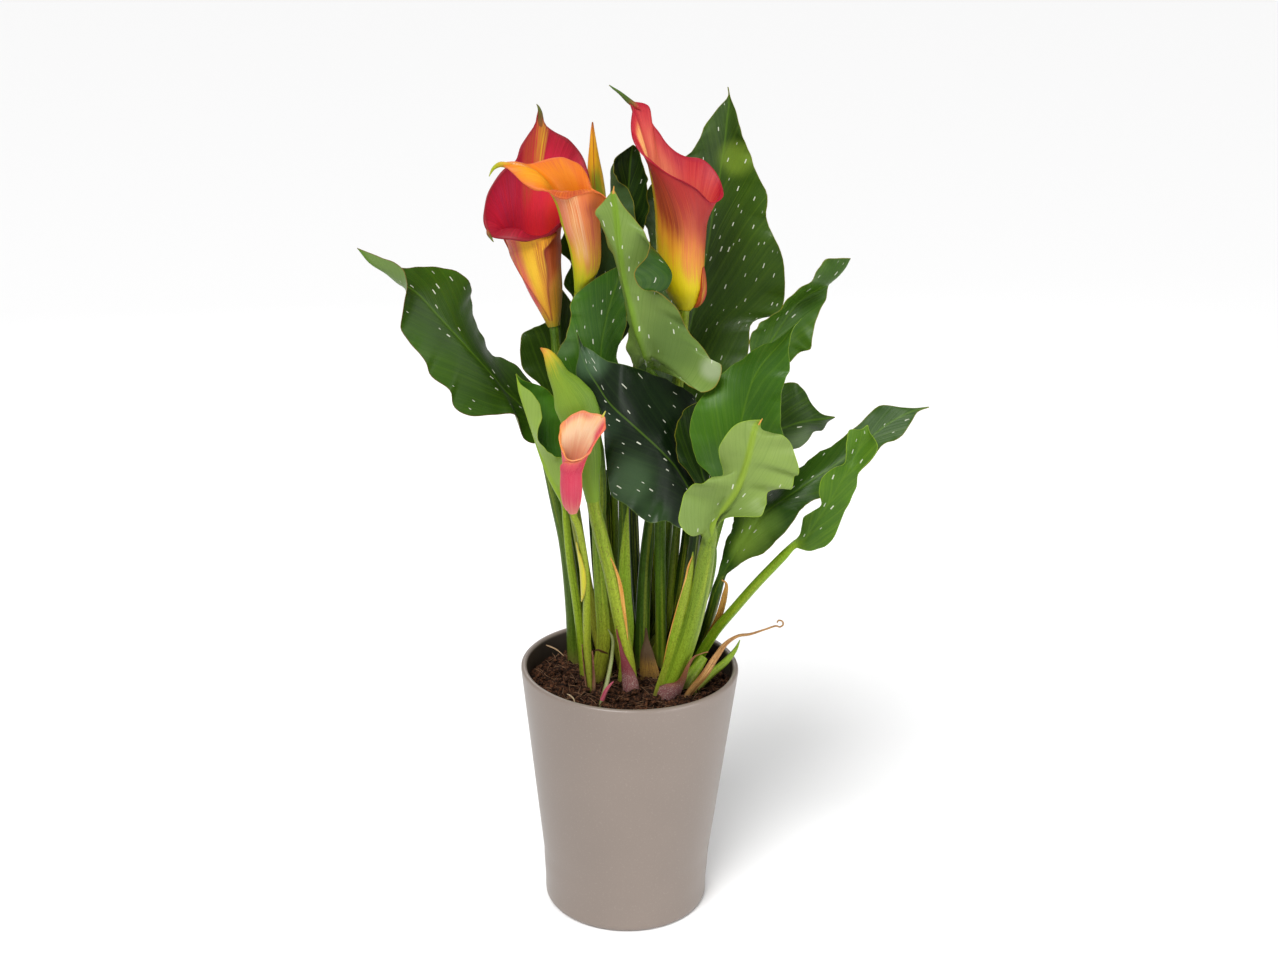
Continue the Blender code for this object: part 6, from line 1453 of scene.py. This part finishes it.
# Sheaths round a stem: the line of the stem, how far from its middle they lie in millimetres, their turns and tip.
wraps = {}
wraps["purpleFrontSheath"] = {
    "node": "sheath_purple_front", "slot": "red_sheath", "around": greenBudPath, "reach": 5.3,
    "turns": [(148, 0, 85), (158, 0, 80), (168, -4, 60), (178, -12, 36), (189, -22, 16), (200, -30, 8), (206, -33, 3)],
    "looks": purple
}
wraps["purpleRightSheath"] = {
    "node": "sheath_purple_right", "slot": "red_sheath", "around": frontPalePath, "reach": 8.1,
    "turns": [(148, 0, 85), (158, 4, 80), (166, 18, 56), (172, 36, 26)],
    "tip": [(692, 659, 38), (700, 654, 39), (708, 652, 39)], "looks": dict(purple, tip=(150, 92, 40), tipFrom=0.171)
}
wraps["pinkLeftSheath"] = {
    "node": "sheath_pink_left", "slot": "red_sheath", "around": smallBloomPath, "reach": 3.3,
    "turns": [(148, -95, 60), (160, -95, 52), (172, -98, 34), (182, -100, 16), (190, -100, 5)], "looks": pink
}
wraps["pinkRightSheath"] = {
    "node": "sheath_pink_right", "slot": "red_sheath", "around": smallBloomPath, "reach": 3.3,
    "turns": [(148, 80, 65), (158, 80, 55), (168, 76, 34), (178, 70, 16), (186, 68, 5)], "looks": pink
}
wraps["yellowSheath"] = {
    "node": "sheath_yellow", "slot": "yellow_sheath", "around": smallBloomPath, "reach": 3.3,
    "turns": [(226, -70, 8), (234, -75, 60), (244, -78, 84), (254, -75, 76), (264, -65, 40), (272, -60, 6)],
    "looks": {
        "first": (236, 222, 16), "second": (206, 206, 24), "speck": (170, 180, 30), "dry": (196, 170, 30),
        "roughness": 0.45, "specks": 0.2}
}

# Shoots and dry sheaths: points with photograph column, row, toward and half widths in millimetres, then the place
# on the soil and the half widths there.
rolls = {}
rolls["brownCentreSheath"] = {
    "node": "sheath_brown_centre", "slot": "dry_sheath",
    "roll": [(646, 628, -8, 0.5, 0.4), (646.5, 640, -6, 1.6, 1.0), (647, 654, -3, 4.2, 1.6)], "ground": (13.5, 1),
    "foot": (6.4, 2.2),
    "looks": {
        "first": (146, 104, 34), "second": (176, 134, 50), "speck": (74, 48, 22), "dry": (70, 44, 26), "specks": 0.5,
        "tip": (70, 46, 26), "tipFrom": 0.172}
}
rolls["dryRightSheath"] = {
    "node": "sheath_dry_right", "slot": "dry_sheath",
    "roll": [(722, 580, 20.5, 0.4, 0.4), (726, 583, 18.5, 0.8, 0.5), (724.5, 596, 11, 1.8, 0.6),
        (719, 616, 1.5, 2.1, 0.7), (712, 630, -8.5, 1.9, 0.7), (704, 645, -16, 1.6, 0.8)],
    "ground": (46, 26), "foot": (1.6, 0.9), "looks": dry
}
rolls["stubShoot"] = {
    "node": "shoot_stub", "roll": [(704, 657, -2, 2.6, 2.4), (698, 666, 1, 3.4, 3.2), (690, 677, 6, 4.0, 3.6)],
    "ground": (35, -9.5), "foot": (4.2, 3.8), "looks": green
}
rolls["greenShoot"] = {
    "node": "shoot_green",
    "roll": [(740, 640, -6, 0.3, 0.3), (735, 650, -4, 1.3, 1.1), (725, 662, 0, 2.2, 1.8), (711, 674, 6, 2.4, 2.2)],
    "ground": (42, -15), "foot": (2.4, 2.4), "looks": green
}
rolls["thinShoot"] = {
    "node": "shoot_thin",
    "roll": [(608, 629, 18, 0.3, 0.3), (612.5, 638, 20, 0.9, 0.9), (612, 656, 24, 1.1, 1.1), (607, 682, 32, 1.3, 1.3)],
    "ground": (-17.5, -38.5), "foot": (1.5, 1.5),
    "looks": {
        "first": (124, 144, 62), "second": (150, 140, 96), "speck": (190, 180, 140), "dry": (150, 140, 90),
        "roughness": 0.45, "specks": 0.3}
}
rolls["oliveStalk"] = {
    "node": "stalk_olive_left",
    "roll": [(594.5, 492, 21, 0.4, 0.4), (595.5, 515, 19, 2.2, 1.6), (598, 550, 15, 3.4, 2.4),
        (601, 595, 10, 4.1, 2.8), (603.5, 640, 6, 4.5, 3.2)],
    "ground": (-21, -4.5), "foot": (4.4, 3.2), "crease": 0.02,
    "looks": {
        "top": 0.24, "colours": [(172, 170, 60), (160, 170, 48), (134, 162, 34), (106, 144, 30)], "freckles": 0.35,
        "freckle": (110, 66, 40)}
}
rolls["limeShoot"] = {
    "node": "shoot_lime",
    "roll": [(628, 506, 8, 0.3, 0.3), (626.5, 525, 8, 1.6, 1.0), (625, 555, 7, 3.2, 1.8), (625, 590, 5, 4.0, 2.2),
        (628, 630, 3, 3.8, 2.4)],
    "ground": (-4, -3), "foot": (3.6, 2.6), "crease": 0.03,
    "looks": {
        "top": 0.25, "colours": [(168, 178, 54), (152, 190, 44), (140, 186, 34), (156, 188, 44)], "freckles": 0.2}
}
# this stalk's dark colours are painted shade, for the shaded gap between the stems
rolls["darkStalk"] = {
    "node": "stalk_dark_back",
    "roll": [(633, 468, -38, 0.4, 0.4), (633, 500, -38, 2.4, 2.0), (634, 540, -39, 3.0, 2.4),
        (637, 590, -40, 3.4, 2.8), (640, 635, -41, 3.6, 3.0)],
    "ground": (0.5, 41.5), "foot": (3.6, 3.0), "crease": 0.02,
    "looks": {
        "top": 0.26, "colours": [(84, 100, 30), (58, 84, 24), (42, 68, 22), (42, 66, 22)], "streak": (84, 108, 36)}
}
rolls["rightStalk"] = {
    "node": "stalk_lime_right",
    "roll": [(680, 478, -20, 0.4, 0.4), (678, 515, -20.5, 2.2, 1.6), (675, 550, -21, 2.8, 2.0),
        (671, 590, -22, 3.0, 2.0), (666, 625, -22.5, 2.8, 2.0)],
    "ground": (13, 25), "foot": (2.6, 2.0), "crease": 0.02,
    "looks": {
        "top": 0.26, "colours": [(130, 138, 48), (140, 158, 44), (130, 160, 38), (104, 140, 32)], "freckles": 0.25}
}
rolls["dryTendril"] = {
    "node": "tendril_dry", "slot": "dry_sheath",
    "roll": [(777, 623, 20.5, 0.3, 0.3), (778.5, 620.5, 21, 0.5, 0.4), (782, 621, 21, 0.5, 0.4),
        (783, 624.5, 20.5, 0.5, 0.4), (780, 627, 20, 0.5, 0.5), (776, 626, 20, 0.5, 0.5), (766, 629, 20, 0.6, 0.5),
        (750, 634, 20, 0.8, 0.6), (738, 636, 20, 1.0, 0.7), (727, 643, 21, 1.5, 0.8), (716, 657, 23, 2.2, 1.0),
        (706, 672, 26, 2.4, 1.2)],
    "ground": (36, -24), "foot": (2.2, 1.6), "twist": 3.0, "crease": 0.16,
    "looks": {"first": (164, 108, 46), "second": (220, 170, 100), "speck": (96, 60, 34), "dry": (110, 70, 44)}
}

# small things that the solids leave out: dry edges, the front stalk's own sheath, stalks at the back
# whose dark colour is painted shade, a sprout, a scale, roots and leaf spines
# dark, matte stalks that fill the gaps behind the stems where there is only shade: their colour is painted shade
paintedShadeStalk = {
    "crease": 0.02, "looks": {"top": 0.26, "colours": [(70, 84, 26), (46, 70, 20), (38, 62, 18)],
                              "streak": (84, 108, 36), "gloss": 0.03, "roughness": 0.8},
}
rolls["budStemMembrane"] = {
    "slot": "dry_sheath", "looks": dry,
    "roll": [(608.5, 554, 44, 0.2, 0.2), (613.5, 564, 43, 0.5, 0.3), (618.5, 578, 41, 0.9, 0.35),
        (621.5, 592, 39, 1.2, 0.35), (623.5, 606, 36.5, 1.1, 0.35), (625.5, 620, 34.5, 0.8, 0.3),
        (628, 640, 31, 0.2, 0.2)]
}
rolls["frontStalkSheath"] = {
    "slot": "young_leaf", "crease": 0.05,
    "roll": [(693, 552, 63, 0.3, 0.3), (691, 568, 59, 1.5, 1.2), (686.5, 590, 51, 2.8, 1.8), (681, 614, 42, 3.4, 2.2),
        (674, 642, 33, 3.6, 2.6), (668, 666, 27, 3.4, 2.6)],
    "ground": (18.5, -22), "foot": (3.4, 3.0),
    "looks": {
        "top": 0.225, "colours": [(160, 166, 64), (156, 178, 52), (148, 182, 46), (160, 184, 50)], "freckles": 0.3}
}
rolls["frontStalkMembrane"] = {
    "slot": "dry_sheath", "looks": dry,
    "roll": [(692.5, 556, 63, 0.2, 0.2), (688.5, 566, 61, 0.5, 0.3), (686, 577, 57, 0.5, 0.3),
        (682, 592, 51, 0.5, 0.3), (676.5, 610, 44, 0.45, 0.3), (671.5, 628, 38, 0.4, 0.3), (666.5, 648, 32, 0.3, 0.25),
        (662, 672, 26, 0.3, 0.2)]
}
rolls["rightStalkSheath"] = {
    "crease": 0.04,
    "roll": [(713.5, 537, 58, 0.3, 0.3), (714, 550, 56, 1.7, 0.9), (712, 568, 52, 2.3, 1.1),
        (708.5, 588, 47, 2.0, 1.0), (704, 606, 42, 0.8, 0.5)],
    "looks": {"from": 0.19, "top": 0.24, "colours": [(84, 124, 30), (104, 146, 34), (80, 120, 30)]}
}
rolls["backStalkLeft"] = dict(paintedShadeStalk, ground=(-12, 36), foot=(3.0, 2.8),
    roll=[(606, 470, -30, 0.5, 0.5), (607, 500, -30, 2.6, 2.4), (608.5, 560, -32, 3.0, 2.6), (609, 630, -34, 3.0, 2.8)])
rolls["backStalkMiddle"] = dict(paintedShadeStalk, ground=(-2, 49), foot=(4.0, 3.0),
    roll=[(631, 470, -46, 0.5, 0.5), (632, 500, -46, 3.6, 2.6), (634, 560, -47, 4.0, 2.8), (635, 630, -48, 4.0, 3.0)])
rolls["backStalkRight"] = dict(paintedShadeStalk, ground=(19, 43), foot=(3.2, 2.8),
    roll=[(689, 500, -14, 0.5, 0.5), (687, 530, -15, 3.0, 2.4), (682.5, 565, -18, 3.2, 2.6), (676, 605, -24, 3.2, 2.6)])
rolls["backStalkInner"] = dict(paintedShadeStalk, ground=(8, 55), foot=(3.2, 2.6),
    roll=[(652, 470, -52, 0.5, 0.5), (652, 500, -52, 3.2, 2.4), (653, 560, -53, 3.4, 2.6), (652, 630, -54, 3.2, 2.6)])
rolls["backStalkEdge"] = dict(paintedShadeStalk, ground=(-22, 46), foot=(2.8, 2.4),
    roll=[(591, 480, -40, 0.5, 0.5), (592.5, 510, -40, 2.8, 2.2), (596, 560, -42, 3.0, 2.4), (600, 620, -44, 3.0, 2.4)])
rolls["backStalkFar"] = dict(paintedShadeStalk, ground=(13, 54), foot=(3.0, 2.4),
    roll=[(673, 500, -48, 0.5, 0.5), (671, 530, -48, 2.8, 2.2), (666, 565, -49, 3.0, 2.2), (660, 610, -50, 3.0, 2.4)])
rolls["pinkSprout"] = {
    "crease": 0.03,
    "roll": [(613.5, 681.5, 45, 0.25, 0.25), (610, 685, 45, 0.8, 0.8), (606, 690.5, 45, 1.2, 1.2),
        (602, 700, 45, 1.4, 1.4)],
    "looks": {
        "first": (180, 60, 86), "second": (210, 120, 130), "speck": (160, 50, 80), "dry": (180, 90, 100),
        "roughness": 0.45, "specks": 0.3}
}
rolls["scaleAtFoot"] = {
    "slot": "dry_sheath",
    "roll": [(595, 651, 15, 0.3, 0.2), (598, 650, 16, 1.5, 0.3), (603, 652, 16, 2.2, 0.3), (608, 654, 14.5, 0.4, 0.2)],
    "looks": {"first": (110, 70, 34), "second": (150, 104, 50), "speck": (70, 44, 26), "dry": (70, 44, 26)}
}
rolls["rootLeft"] = {
    "slot": "soil", "crease": 0.05,
    "roll": [(567, 694, 41, 0.2, 0.2), (570, 695.5, 42, 0.5, 0.4), (573.5, 699, 43, 0.5, 0.4),
        (575, 704, 44, 0.2, 0.2)],
    "looks": {"first": (196, 176, 140), "second": (170, 140, 104), "speck": (120, 90, 64), "dry": (120, 90, 64)}
}
rolls["rootBack"] = {
    "slot": "soil", "crease": 0.05,
    "roll": [(546, 645, 3, 0.2, 0.2), (551, 647, 4, 0.5, 0.4), (557, 650, 5, 0.45, 0.4), (564, 656, 7, 0.2, 0.2)],
    "looks": {"first": (180, 150, 110), "second": (150, 112, 78), "speck": (110, 80, 56), "dry": (110, 80, 56)}
}
rolls["paleLeafSpine"] = {
    "slot": "young_leaf", "looks": dry,
    "roll": [(614, 186, 32, 0.2, 0.2), (613.5, 190, 32, 0.45, 0.4), (613.5, 195, 32, 0.7, 0.4),
        (613.5, 201, 32, 0.3, 0.2)]
}
rolls["frontLeafSpine"] = {
    "slot": "young_leaf", "looks": dry,
    "roll": [(762.5, 418.5, 82, 0.2, 0.2), (760.5, 421.5, 82, 0.45, 0.4), (758.5, 425, 82, 0.3, 0.2)]
}
for wrapName, wrap in wraps.items():
    makeWrap(wrapName, wrap)
for rollName, roll in rolls.items():
    makeRoll(rollName, roll)
print("sheaths and shoots ready")
